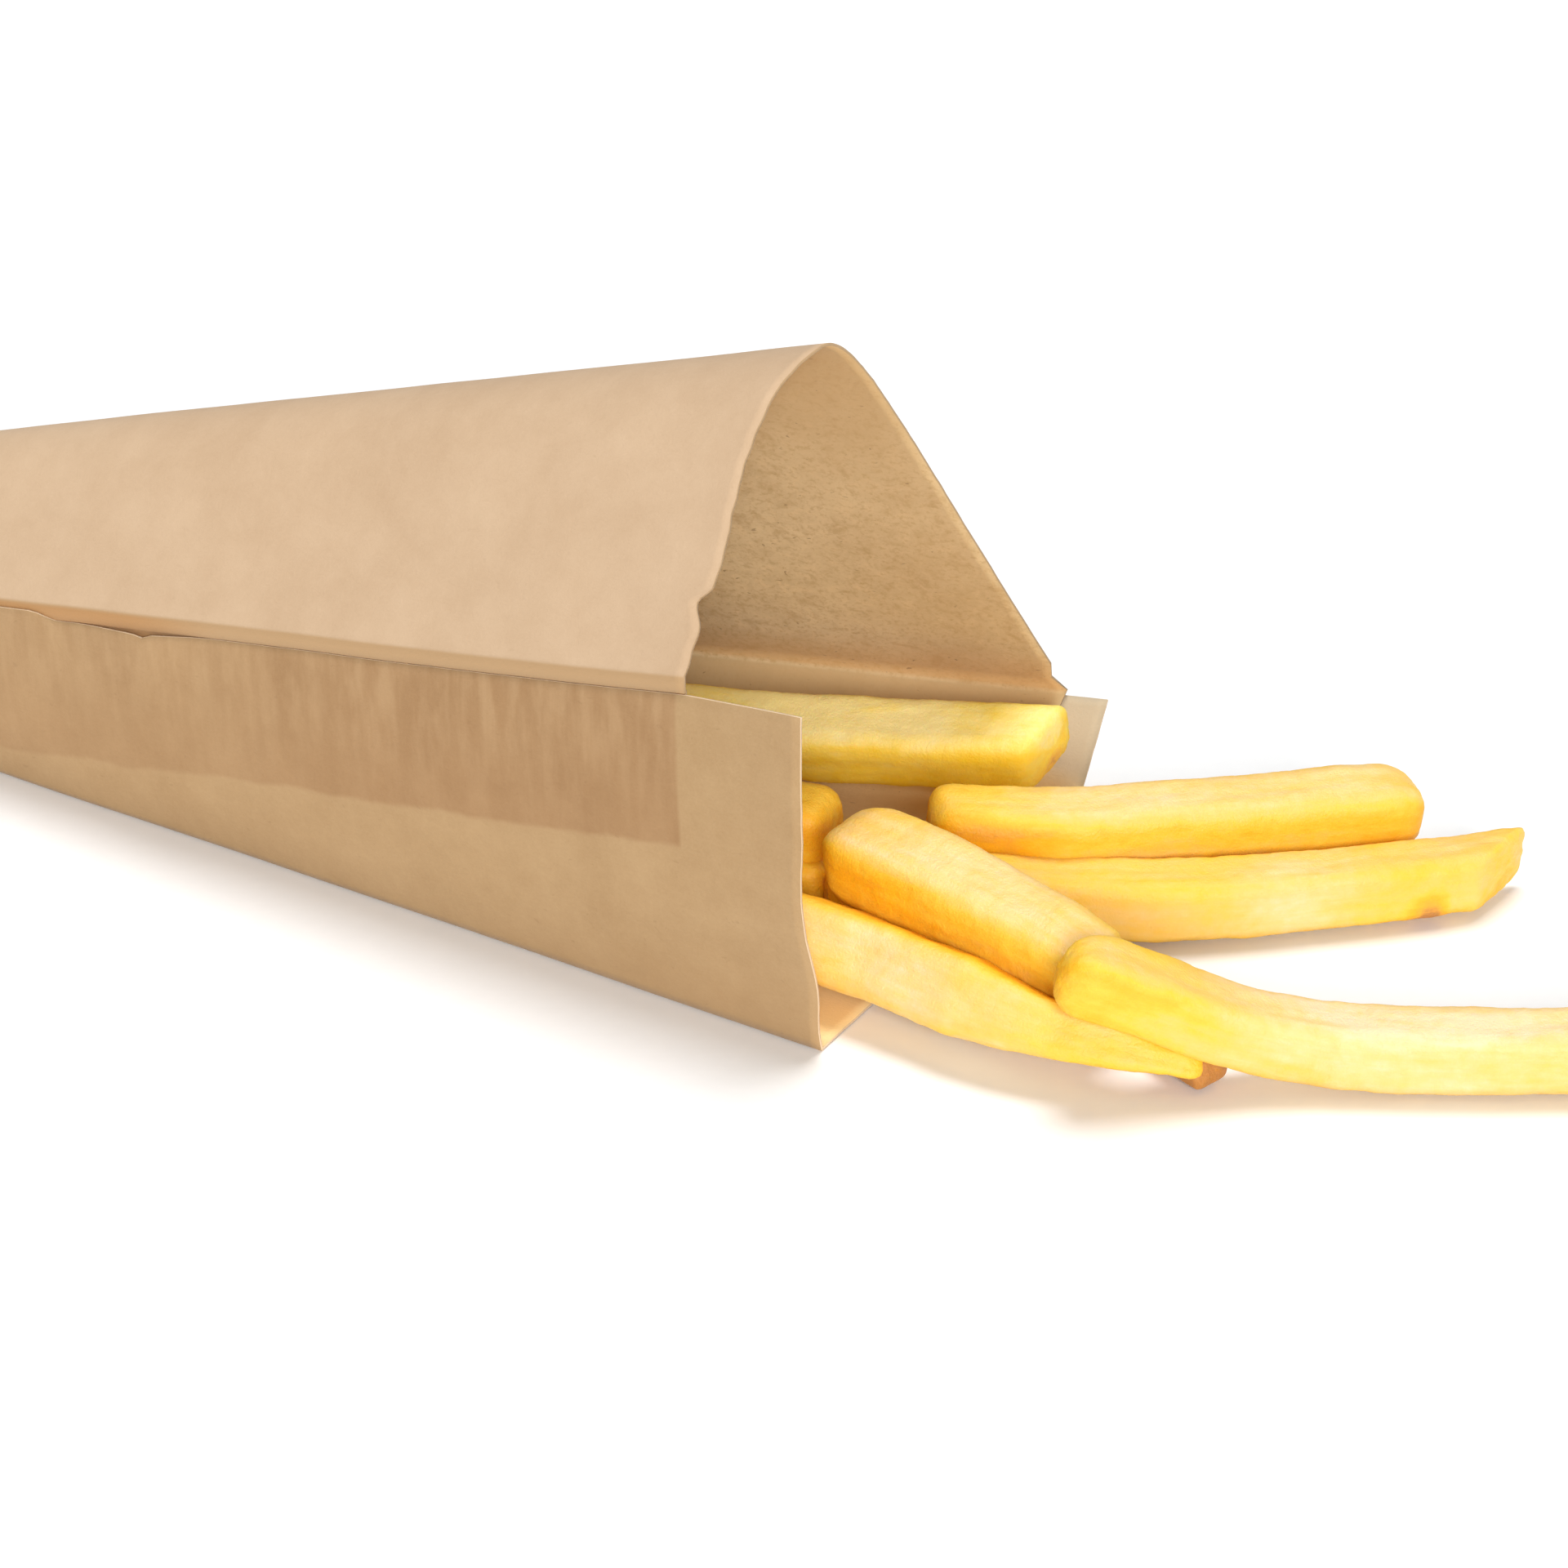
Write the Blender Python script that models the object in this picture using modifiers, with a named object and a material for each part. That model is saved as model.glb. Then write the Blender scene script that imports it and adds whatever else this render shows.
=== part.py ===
"""French fries spilling out of a brown paper cone that lies on its side.

Lengths here are millimetres, and become metres where a mesh is made. The cone points along +X from its
pressed tip at x = 0 to its mouth. Its bottom panel lies on z = 0 and -Y is its near side. Two paper panels
make it: the lower one is the bottom, the tall near wall and the low far wall, and the upper one is the
arched roof, whose glue flaps turn down inside both walls. At the end everything is shifted so that the
origin is the middle of the underside of the whole object.
"""
import math
import random
from collections import namedtuple

import bmesh
import bpy
from mathutils import Matrix, Vector

MM = 0.001

# Paper
PAPER = 0.35            # thickness of one sheet
GAP = 0.3               # air between two sheets, and between a sheet and the food
FLAP_INSET = PAPER + GAP
FLAP_WIDTH = 21.5       # near glue flap, measured down from the fold
FAR_FLAP_WIDTH = 9.0
FLAP_SHARE = 0.8        # most of the wall's height that a flap takes where the cone is narrow
FOLD_REVEAL = 2.2       # how far the near fold stands above the cut edge of the near wall
REVEAL_SHARE = 0.25     # most of the wall's height that this takes where the cone is narrow
FOLD_TUCK = 0.12        # how far the paper has turned in just under the near fold
FOLD_TUCK_DROP = 0.4    # how far under the fold that is, as a share of the fold's reveal
FLAP_TOP_RISE = 0.2     # how far above the cut edge the flap's flat part ends, as a share of the reveal
FAR_FOLD_LIFT = 0.9     # how far the roof's far fold stands above the far wall's cut edge
FAR_LIFT_FULL = 4.0     # height of the far fold from which it stands that far above
FAR_FLAP_EXTRA = 0.25   # more room behind the far flap, whose fold is tighter

# Cone: its length, and the corners of the mouth's section as (y, z)
CONE_LENGTH = 280.0
NEAR_FOOT = (-30.2, 0.0)
NEAR_WALL_HANDLES = ((-34.5, 14.0), (-36.2, 32.0))
NEAR_FOLD = (-35.4, 47.9)
NEAR_ROOF_HANDLES = ((-26.0, 60.0), (-17.0, 79.6))
PEAK = (-5.5, 79.6)
FAR_ROOF_HANDLES = ((1.5, 79.6), (12.0, 60.0))
FAR_FOLD = (46.4, 13.3)
FAR_FOOT = (37.0, 0.0)
FAR_BEND = 7.0          # length of each side of the far foot that its round bend takes
LIP_DROP = 1.2          # how much lower the near lip's corner stands than the straight cut edge
NEAR_WALL_ROWS = (1.0, 0.85, 0.65, 0.45, 0.25, 0.1)  # rows of a sheet's faces, as shares of its width
NEAR_FLAP_ROWS = (0.0, 0.35, 0.7)
BOTTOM_ROWS = (0.0, 0.33, 0.67)
FAR_FLAP_ROWS = (0.08, 0.5, 1.0)
BEND_STEPS = 5
NEAR_ROOF_STEPS = 7
FAR_ROOF_STEPS = 8
WALL_CURVE_STEPS = 12

# Mouth of the roof, as places along X
ROOF_AT_NEAR_FOLD = 263.2
ROOF_AT_PEAK = 266.0
ROOF_AT_FAR_FOLD = 274.4

# Closed tip
NOSE_POINT = 0.8        # place of the blunt point
NOSE_LENGTH = 16.5
NOSE_SHRINK = 0.1       # the solid nose stands this far inside the outer face of the paper
LOWER_START = 13.0
UPPER_START = 17.0
STATIONS = 12           # rows of the sheets between the tip and the mouth

# Fries
CORNER = 0.17           # chamfer of a fry's edges, as a share of its size
END_ROUND = 1.1         # length over which a fry's end rounds off
END_SHRINK = 0.74       # size of the end face against the full section
FRY_STEPS = 6           # rings between two ends of a fry
WOBBLE = 0.035          # random change of a fry's size from ring to ring
TAPER_START = 0.6       # share of its length after which a fry narrows to its tip
SEED = 11

Fry = namedtuple("Fry", "line width height roll cuts tip", defaults=(1.0,))
# A fry: its centre line as (x, y, z), its size, its roll in degrees, the slant of the cut at each end,
# and the size of its last ring against the others
FRIES = {
    "under_roof": Fry([(204, 11.0, 9.6), (233, 20.2, 9.7), (254, 26.4, 10.1), (276.8, 34.2, 10.9)],
                      9.6, 9.2, 32, (0.1, 0.15)),
    "near_stub": Fry([(212, -10.0, 13.0), (240, -7.0, 13.8), (266.6, -3.0, 14.8)],
                     8.0, 8.4, 10, (0.2, -0.1)),
    "low_stub": Fry([(222, -9.0, 6.3), (264.0, -3.4, 6.3)], 8.0, 7.8, 5, (0.0, 0.2)),
    "crossing": Fry([(272.4, -10.3, 16.0), (289.9, -14.5, 15.2), (303.5, -17.5, 14.4), (313.5, -20.4, 13.8)],
                    10.6, 10.4, 14, (-0.1, 0.2)),
    "front": Fry([(232, -15.0, 7.6), (271.5, -19.2, 7.8), (284.3, -20.2, 7.2), (302.1, -23.8, 6.4),
                  (313.0, -22.8, 5.0), (321.5, -19.5, 4.4)], 9.6, 9.4, 60, (0.0, 0.2), 0.45),
    "long_curved": Fry([(309.2, -27.0, 16.4), (316.2, -21.3, 12.4), (323.6, -15.9, 8.3),
                        (331.5, -10.8, 5.8), (341.6, -6.2, 5.1), (357.8, 2.6, 5.0), (372.0, 12.5, 5.0)],
                       8.6, 8.4, 12, (-0.2, 0.3)),
    "upper_right": Fry([(275.2, 7.6, 11.4), (288.6, 14.8, 11.1), (304.3, 27.5, 10.6), (321.2, 42.2, 10.1)],
                       9.2, 8.8, 24, (0.2, 0.1)),
    "lower_right": Fry([(270.0, -8.4, 8.8), (288.9, 7.0, 5.6), (304.5, 15.6, 5.0), (320.3, 28.4, 4.9),
                        (334.2, 42.0, 4.6)], 8.8, 8.4, 6, (0.0, -0.75), 0.94),
    "dark_end": Fry([(322.4, -18.0, 2.3), (311.0, -12.6, 2.3)], 5.0, 4.0, 0, (0.2, 0.0)),
}

# Fries that lie on the core inside the cone, in three rows
DEEP_FRIES = 9
DEEP_FRY_SIZE = 8.6
DEEP_FRY_LENGTH = 66.0
DEEP_FIRST = 98.0       # where the first one starts
DEEP_STEP = 14.0        # from one start to the next
DEEP_END = 236.0        # none reaches further than this
DEEP_ROWS = (-14.3, 0.7, 11.6)  # places of the rows across the mouth's section
DEEP_SHIFT = 1.7        # how far a fry strays to the side, at the mouth
DEEP_SWING = 2.7        # how far its end swings to the side, at the mouth
DEEP_LENGTHS = (0.85, 1.1)
DEEP_WIDTHS = (0.9, 1.08)
DEEP_FLATNESS = (0.92, 1.0)
DEEP_HEIGHTS = (0.5, 2.0)  # of its middle above the core
DEEP_ROLLS = (-20.0, 35.0)

# Core of the heap
CORE_START = 62.0
CORE_END = 252.0
CORE_STATIONS = 8
CORE_FLOOR = 1.0        # height of the core's underside above the ground
CORE_SHARE = 0.34       # core height against the near wall's, where the cone is narrow
CORE_LEVEL = 11.5       # height that it keeps further on
CORE_SLOPE_START = 170.0
CORE_FRONT = 9.5        # height at its front end
CORE_SIDE_GAP = 2.4
CORE_FAR_LOSS = 0.62    # share of the far half that its front end leaves bare
CORE_OUTLINE = ((0.0, 0.0), (0.95, 0.0), (1.0, 0.45), (0.75, 1.0), (0.3, 1.06), (0.0, 0.8))


def bezier(start, handles, end, steps):
    """Points of a cubic curve in the section plane, both ends included."""
    points = []
    for step in range(steps + 1):
        t = step / steps
        weights = ((1 - t) ** 3, 3 * t * (1 - t) ** 2, 3 * t * t * (1 - t), t ** 3)
        corners = (start, *handles, end)
        points.append(tuple(sum(w * c[axis] for w, c in zip(weights, corners)) for axis in (0, 1)))
    return points


def mix(start, end, share):
    """A point part of the way from one point to another."""
    return tuple(a + (b - a) * share for a, b in zip(start, end))


def scaled(point, x):
    """A corner of the mouth's section, brought to the section at x."""
    share = x / CONE_LENGTH
    return (point[0] * share, point[1] * share)


def near_wall_y(x, z):
    """Where the outer face of the near wall stands at a height."""
    curve = [scaled(p, x) for p in bezier(NEAR_FOOT, NEAR_WALL_HANDLES, NEAR_FOLD, WALL_CURVE_STEPS)]
    for low, high in zip(curve, curve[1:]):
        if z <= high[1]:
            return mix(low, high, (z - low[1]) / (high[1] - low[1]))[0]
    return curve[-1][0]


def reveal(x):
    """Height of the rounded fold that shows above the near wall's cut edge."""
    return min(FOLD_REVEAL, REVEAL_SHARE * scaled(NEAR_FOLD, x)[1])


def lower_section(x):
    """Outer face of the lower panel at x, from the near wall's cut edge round to the far wall's."""
    top = scaled(NEAR_FOLD, x)[1] - reveal(x)
    if x > ROOF_AT_NEAR_FOLD:
        top -= LIP_DROP * (x - ROOF_AT_NEAR_FOLD) / (CONE_LENGTH - ROOF_AT_NEAR_FOLD)
    near_wall = [(near_wall_y(x, top * share), top * share) for share in NEAR_WALL_ROWS]
    bend = FAR_BEND * x / CONE_LENGTH
    near_foot = scaled(NEAR_FOOT, x)
    far_foot = scaled(FAR_FOOT, x)
    far_fold = scaled(FAR_FOLD, x)
    wall_length = (Vector(far_fold) - Vector(far_foot)).length
    bend_start = (far_foot[0] - bend, 0.0)
    bend_end = mix(far_foot, far_fold, bend / wall_length)
    bottom = [mix(near_foot, bend_start, share) for share in BOTTOM_ROWS]
    far_bend = bezier(bend_start, (far_foot, far_foot), bend_end, BEND_STEPS)
    return near_wall + bottom + far_bend + [far_fold]


def upper_section(x):
    """Outer face of the upper panel at x, from the far flap over the roof to the near flap."""
    near_fold = scaled(NEAR_FOLD, x)
    far_fold = scaled(FAR_FOLD, x)
    far_foot = scaled(FAR_FOOT, x)
    peak = scaled(PEAK, x)
    cut = near_fold[1] - reveal(x)
    flap_foot = near_fold[1] - min(FLAP_WIDTH, FLAP_SHARE * near_fold[1])
    heights = [flap_foot + (cut - flap_foot) * share for share in NEAR_FLAP_ROWS]
    heights.append(cut + FLAP_TOP_RISE * reveal(x))
    near_flap = [(near_wall_y(x, z) + FLAP_INSET, z) for z in heights]
    near_turn = [(near_fold[0] + FOLD_TUCK, near_fold[1] - FOLD_TUCK_DROP * reveal(x))]
    near_roof = bezier(near_fold, [scaled(p, x) for p in NEAR_ROOF_HANDLES], peak, NEAR_ROOF_STEPS)
    far_roof = bezier(peak, [scaled(p, x) for p in FAR_ROOF_HANDLES], far_fold, FAR_ROOF_STEPS)[1:]
    lift = FAR_FOLD_LIFT * min(1.0, far_fold[1] / FAR_LIFT_FULL) / FAR_ROOF_STEPS
    far_roof = [(y, z + lift * (index + 1)) for index, (y, z) in enumerate(far_roof)]
    wall = Vector(far_foot) - Vector(far_fold)
    down = wall.normalized()
    inward = Vector((-abs(down.y), abs(down.x))) * (FLAP_INSET + FAR_FLAP_EXTRA)
    flap_length = min(FAR_FLAP_WIDTH, FLAP_SHARE * wall.length)
    far_flap = [tuple(Vector(far_fold) + inward + down * flap_length * share) for share in FAR_FLAP_ROWS]
    outline = near_flap + near_turn + near_roof + far_roof + far_flap
    return outline[::-1]


def roof_mouth(y):
    """Place along X of the upper panel's front edge, for a place across the mouth."""
    if y <= PEAK[0]:
        share = (y - NEAR_FOLD[0]) / (PEAK[0] - NEAR_FOLD[0])
        return ROOF_AT_NEAR_FOLD + (ROOF_AT_PEAK - ROOF_AT_NEAR_FOLD) * min(1.0, max(0.0, share))
    share = (y - PEAK[0]) / (FAR_FOLD[0] - PEAK[0])
    return ROOF_AT_PEAK + (ROOF_AT_FAR_FOLD - ROOF_AT_PEAK) * min(1.0, share)


def straight_mouth(y):
    """Place along X of the lower panel's front edge, the same all across."""
    return CONE_LENGTH


def new_object(name, mesh_data, collection, material=None):
    """Wraps a bmesh, whose points are in millimetres, as a named object in metres."""
    bmesh.ops.scale(mesh_data, vec=(MM, MM, MM), verts=mesh_data.verts)
    mesh = bpy.data.meshes.new(name)
    mesh_data.to_mesh(mesh)
    mesh_data.free()
    made = bpy.data.objects.new(name, mesh)
    collection.objects.link(made)
    if material:
        mesh.materials.append(material)
    return made


def loft(rings, closed):
    """A bmesh through rows of points; closed rings get a cap at both ends, open ones stay a sheet."""
    mesh_data = bmesh.new()
    rows = [[mesh_data.verts.new(point) for point in ring] for ring in rings]
    count = len(rows[0])
    for row, following in zip(rows, rows[1:]):
        for index in range(count if closed else count - 1):
            after = (index + 1) % count
            mesh_data.faces.new((row[index], row[after], following[after], following[index]))
    if closed:
        mesh_data.faces.new(rows[0])
        mesh_data.faces.new(rows[-1])
        bmesh.ops.recalc_face_normals(mesh_data, faces=mesh_data.faces)
    return mesh_data


def paper_sheet(name, section, start, mouth, collection, material):
    """One paper panel: rulings that run from the tip to the mouth, thickened inwards."""
    ends = [mouth(y) for y, z in section(CONE_LENGTH)]
    rings = []
    for station in range(STATIONS + 1):
        share = station / STATIONS
        ring = []
        for index, end in enumerate(ends):
            x = start + (end - start) * share
            y, z = section(x)[index]
            ring.append((x, y, z))
        rings.append(ring)
    sheet = new_object(name, loft(rings, closed=False), collection, material)
    thick = sheet.modifiers.new("paper_thickness", "SOLIDIFY")
    thick.thickness = PAPER * MM
    thick.offset = -1.0
    thick.use_even_offset = True
    return sheet


def upper_panel(collection, material):
    """The arched roof with its two glue flaps."""
    return paper_sheet("upper_panel", upper_section, UPPER_START, roof_mouth, collection, material)


def lower_panel(collection, cutters, material):
    """The bottom and both walls, joined to the pressed tip."""
    sheet = paper_sheet("lower_panel", lower_section, LOWER_START, straight_mouth, collection, material)
    corners = (NEAR_FOOT, FAR_FOOT, FAR_FOLD, PEAK, NEAR_FOLD)
    middle = (sum(c[0] for c in corners) / len(corners), sum(c[1] for c in corners) / len(corners))
    rings = []
    for x in (NOSE_POINT, NOSE_LENGTH):
        ring = []
        for corner in corners:
            y, z = scaled(corner, x)
            centre = Vector(scaled(middle, x))
            inset = (centre - Vector((y, z))).normalized() * NOSE_SHRINK * x / NOSE_LENGTH
            ring.append((x, y + inset.x, z + inset.y))
        rings.append(ring)
    nose = new_object("nose", loft(rings, closed=True), cutters)
    hide_helper(nose)
    join = sheet.modifiers.new("pressed_tip", "BOOLEAN")
    join.operation = "UNION"
    join.solver = "MANIFOLD"
    join.object = nose
    return sheet


def hide_helper(helper):
    """Marks an object as a cutter or a guide."""
    helper.hide_render = True
    helper.display_type = "WIRE"


def smooth_line(points, steps):
    """Evenly numbered points on a smooth curve through the given ones."""
    vectors = [Vector(p) for p in points]
    padded = [2 * vectors[0] - vectors[1], *vectors, 2 * vectors[-1] - vectors[-2]]
    line = []
    spans = len(vectors) - 1
    for step in range(steps + 1):
        place = min(step / steps * spans, spans - 1e-6)
        span = int(place)
        t = place - span
        before, start, end, after = padded[span:span + 4]
        line.append(0.5 * (2 * start + (end - before) * t
                           + (2 * before - 5 * start + 4 * end - after) * t * t
                           + (3 * start - before - 3 * end + after) * t ** 3))
    return line


def fry_ring(centre, along, roll, width, height, slant):
    """Eight corners of a fry's section: a square whose edges are taken off."""
    side = along.cross(Vector((0, 0, 1))).normalized()
    turn = Matrix.Rotation(roll, 3, along)
    side = turn @ side
    up = side.cross(along)
    half_w, half_h = width / 2, height / 2
    cut_w, cut_h = half_w - CORNER * width, half_h - CORNER * height
    outline = [(half_w, -cut_h), (half_w, cut_h), (cut_w, half_h), (-cut_w, half_h),
               (-half_w, cut_h), (-half_w, -cut_h), (-cut_w, -half_h), (cut_w, -half_h)]
    return [centre + side * u + up * v + along * slant * u for u, v in outline]


def fry(name, shape, collection, rng):
    """One fry: a bent, slightly uneven square stick with cut ends."""
    line = smooth_line(shape.line, max(FRY_STEPS, len(shape.line) + 1))
    roll = math.radians(shape.roll)
    rings = []
    last = len(line) - 1
    for index, centre in enumerate(line):
        along = (line[min(index + 1, last)] - line[max(index - 1, 0)]).normalized()
        taper = max(0.0, index / last - TAPER_START) / (1 - TAPER_START)
        size = 1 + rng.uniform(-WOBBLE, WOBBLE) + (shape.tip - 1) * taper
        width, height = shape.width * size, shape.height * size
        slant = {0: shape.cuts[0], last: shape.cuts[1]}.get(index, 0.0)
        ring = fry_ring(centre, along, roll, width, height, slant)
        outward = {0: -END_ROUND, last: END_ROUND}.get(index)
        if outward is None:
            rings.append(ring)
            continue
        end = centre + along * outward
        small = fry_ring(end, along, roll, width * END_SHRINK, height * END_SHRINK, slant)
        rings.extend([small, ring] if index == 0 else [ring, small])
    return new_object(name, loft(rings, closed=True), collection)


def heap_top(x):
    """Height of the core along the cone."""
    slope = max(0.0, (x - CORE_SLOPE_START) / (CORE_END - CORE_SLOPE_START))
    return min(CORE_SHARE * scaled(NEAR_FOLD, x)[1], CORE_LEVEL + (CORE_FRONT - CORE_LEVEL) * slope)


def deep_fry_shapes(rng):
    """Fries that lie on the core inside the cone, in staggered rows that narrow with it."""
    shapes = []
    for index in range(DEEP_FRIES):
        start = DEEP_FIRST + DEEP_STEP * index
        end = min(start + DEEP_FRY_LENGTH * rng.uniform(*DEEP_LENGTHS), DEEP_END)
        across = DEEP_ROWS[index % len(DEEP_ROWS)] + rng.uniform(-DEEP_SHIFT, DEEP_SHIFT)
        swing = rng.uniform(-DEEP_SWING, DEEP_SWING)
        line = []
        for x, at_mouth in ((start, across), (end, across + swing)):
            line.append((x, at_mouth * x / CONE_LENGTH, heap_top(x) + rng.uniform(*DEEP_HEIGHTS)))
        size = DEEP_FRY_SIZE * rng.uniform(*DEEP_WIDTHS)
        height = size * rng.uniform(*DEEP_FLATNESS)
        shapes.append(Fry(line, size, height, rng.uniform(*DEEP_ROLLS), (0.1, -0.1)))
    return shapes


def heap_core(collection):
    """The plain body of the heap, which follows the inside of the cone."""
    rings = []
    for station in range(CORE_STATIONS + 1):
        share = station / CORE_STATIONS
        x = CORE_START + (CORE_END - CORE_START) * share
        height = heap_top(x) - CORE_FLOOR
        near = scaled(NEAR_FOOT, x)[0] + CORE_SIDE_GAP
        far = (scaled(FAR_FOOT, x)[0] - CORE_SIDE_GAP) * (1.0 - CORE_FAR_LOSS * share ** 2)
        width = far - near
        rings.append([(x, near + width * across, CORE_FLOOR + height * up) for across, up in CORE_OUTLINE])
    return new_object("fries", loft(rings, closed=True), collection)


def keep_outer_shell(mesh):
    """Fills sealed hollows and drops loose scraps, by keeping only the largest closed shell."""
    mesh_data = bmesh.new()
    mesh_data.from_mesh(mesh)
    bmesh.ops.remove_doubles(mesh_data, verts=mesh_data.verts, dist=1e-7)
    unseen = set(mesh_data.faces)
    shells = []
    while unseen:
        shell = {unseen.pop()}
        edge_of_search = list(shell)
        while edge_of_search:
            face = edge_of_search.pop()
            for edge in face.edges:
                for neighbour in edge.link_faces:
                    if neighbour in unseen:
                        unseen.remove(neighbour)
                        shell.add(neighbour)
                        edge_of_search.append(neighbour)
        shells.append(shell)
    largest = max(shells, key=lambda shell: sum(face.calc_area() for face in shell))
    extra = [face for shell in shells if shell is not largest for face in shell]
    bmesh.ops.delete(mesh_data, geom=extra, context="FACES")
    mesh_data.to_mesh(mesh)
    mesh_data.free()


def fry_heap(collection, pieces, material):
    """The heap: every fry fused to the core by one union, as one solid."""
    rng = random.Random(SEED)
    core = heap_core(collection)
    for name, shape in FRIES.items():
        fry(name, shape, pieces, rng)
    for index, shape in enumerate(deep_fry_shapes(random.Random(SEED))):
        fry(f"deep_{index}", shape, pieces, rng)
    union = core.modifiers.new("fused_fries", "BOOLEAN")
    union.operation = "UNION"
    union.operand_type = "COLLECTION"
    union.collection = pieces
    union.solver = "EXACT"
    bpy.context.view_layer.update()
    evaluated = core.evaluated_get(bpy.context.evaluated_depsgraph_get())
    fused = bpy.data.meshes.new_from_object(evaluated)
    core.modifiers.remove(union)
    core.data = fused
    for piece in list(pieces.objects):
        bpy.data.objects.remove(piece, do_unlink=True)
    keep_outer_shell(fused)
    fused.materials.clear()
    fused.materials.append(material)
    return core


def plain_material(name, colour, roughness):
    """A non-metallic finish."""
    material = bpy.data.materials.new(name)
    material.use_nodes = True
    shader = material.node_tree.nodes["Principled BSDF"]
    shader.inputs["Base Color"].default_value = (*colour, 1.0)
    shader.inputs["Roughness"].default_value = roughness
    shader.inputs["Metallic"].default_value = 0.0
    return material


def stand_on_origin(parts):
    """Shifts all parts so that the origin is the middle of the underside of their common box."""
    bpy.context.view_layer.update()
    graph = bpy.context.evaluated_depsgraph_get()
    corners = [Vector(c) for part in parts for c in part.evaluated_get(graph).bound_box]
    low = Vector(min(c[axis] for c in corners) for axis in range(3))
    high = Vector(max(c[axis] for c in corners) for axis in range(3))
    middle = Vector(((low.x + high.x) / 2, (low.y + high.y) / 2, low.z))
    helpers = [m.object for part in parts for m in part.modifiers if m.type == "BOOLEAN"]
    for part in [*parts, *helpers]:
        part.location -= middle


def main():
    for old in list(bpy.data.objects):
        bpy.data.objects.remove(old, do_unlink=True)
    collections = {}
    for name in ("fries_in_cone", "cutters", "fry_pieces"):
        collections[name] = bpy.data.collections.new(name)
        bpy.context.scene.collection.children.link(collections[name])
    model = collections["fries_in_cone"]
    light_paper = plain_material("upper_paper", (0.70, 0.50, 0.31), 0.85)
    shaded_paper = plain_material("lower_paper", (0.58, 0.37, 0.19), 0.85)
    potato = plain_material("fried_potato", (0.92, 0.62, 0.14), 0.5)
    roof = upper_panel(model, light_paper)
    base = lower_panel(model, collections["cutters"], shaded_paper)
    heap = fry_heap(model, collections["fry_pieces"], potato)
    bpy.data.collections.remove(collections["fry_pieces"])
    stand_on_origin([roof, base, heap])


main()
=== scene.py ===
import math
import random
from collections import namedtuple

import bmesh
import bpy
import numpy as np
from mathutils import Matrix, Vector, noise

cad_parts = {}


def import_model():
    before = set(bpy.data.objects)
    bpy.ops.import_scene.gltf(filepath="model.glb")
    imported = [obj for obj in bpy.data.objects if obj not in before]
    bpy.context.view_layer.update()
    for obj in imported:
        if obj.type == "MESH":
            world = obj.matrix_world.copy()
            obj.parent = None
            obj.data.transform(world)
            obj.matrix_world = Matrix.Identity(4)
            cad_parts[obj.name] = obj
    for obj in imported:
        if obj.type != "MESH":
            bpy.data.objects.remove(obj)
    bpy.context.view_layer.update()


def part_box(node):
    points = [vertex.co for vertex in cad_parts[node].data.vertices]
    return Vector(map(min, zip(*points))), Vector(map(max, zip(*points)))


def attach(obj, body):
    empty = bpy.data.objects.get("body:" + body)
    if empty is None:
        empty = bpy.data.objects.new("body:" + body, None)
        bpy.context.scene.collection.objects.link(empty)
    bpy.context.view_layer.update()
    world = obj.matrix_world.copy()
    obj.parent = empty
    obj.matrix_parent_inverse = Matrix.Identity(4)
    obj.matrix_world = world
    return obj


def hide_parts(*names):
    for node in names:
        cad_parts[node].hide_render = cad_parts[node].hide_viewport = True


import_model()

# Looks of the french fries in a brown paper cone. Lengths are millimetres, counted from the cone's pressed
# tip, with +X along the cone, +Z up and -Y its near side, and become metres where a mesh is made.
MM = 0.001

# Paper
PAPER = 0.35  # thickness of one sheet
FLAP_INSET = 0.42  # from a wall's outer face to that of the flap glued behind it
FLAP_WIDTH = 21.5  # near glue flap, measured down from the fold
FAR_FLAP_WIDTH = 9.0
FLAP_SHARE = 0.8  # most of the wall's height that a flap takes where the cone is narrow
FAR_FLAP_EXTRA = 0.25  # how much further in the far flap lies
FOLD_REVEAL = 2.2  # how far the near fold stands above the cut edge of the near wall
REVEAL_SHARE = 0.25  # most of the wall's height that the fold takes where the cone is narrow
FOLD_TUCK = 0.02  # how far the paper stands in under the fold
FOLD_TUCK_DROP = 0.96  # how far down the reveal that is, as a share of it
FLAP_TOP_RISE = 0.01  # how far up the reveal the flap's top is, as a share of it
FAR_FOLD_LIFT = 0.9  # how far the roof stands over the far wall's top
FAR_LIFT_FULL = 4.0  # height of the far wall where that lift is full

# Cone: its length, and the corners of the mouth's section as (y, z)
CONE_LENGTH = 280.0
NEAR_FOOT = (-30.2, 0.0)
NEAR_WALL_HANDLES = ((-34.5, 14.0), (-36.2, 32.0))
NEAR_FOLD = (-35.4, 47.9)
NEAR_ROOF_HANDLES = ((-26.0, 60.0), (-17.0, 79.6))
PEAK = (-5.5, 79.6)
FAR_ROOF_HANDLES = ((1.5, 79.6), (12.0, 60.0))
FAR_FOLD = (46.4, 13.3)
FAR_FOOT = (37.0, 0.0)
FAR_BEND = 7.0  # how far the bend from the bottom into the far wall reaches

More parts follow.
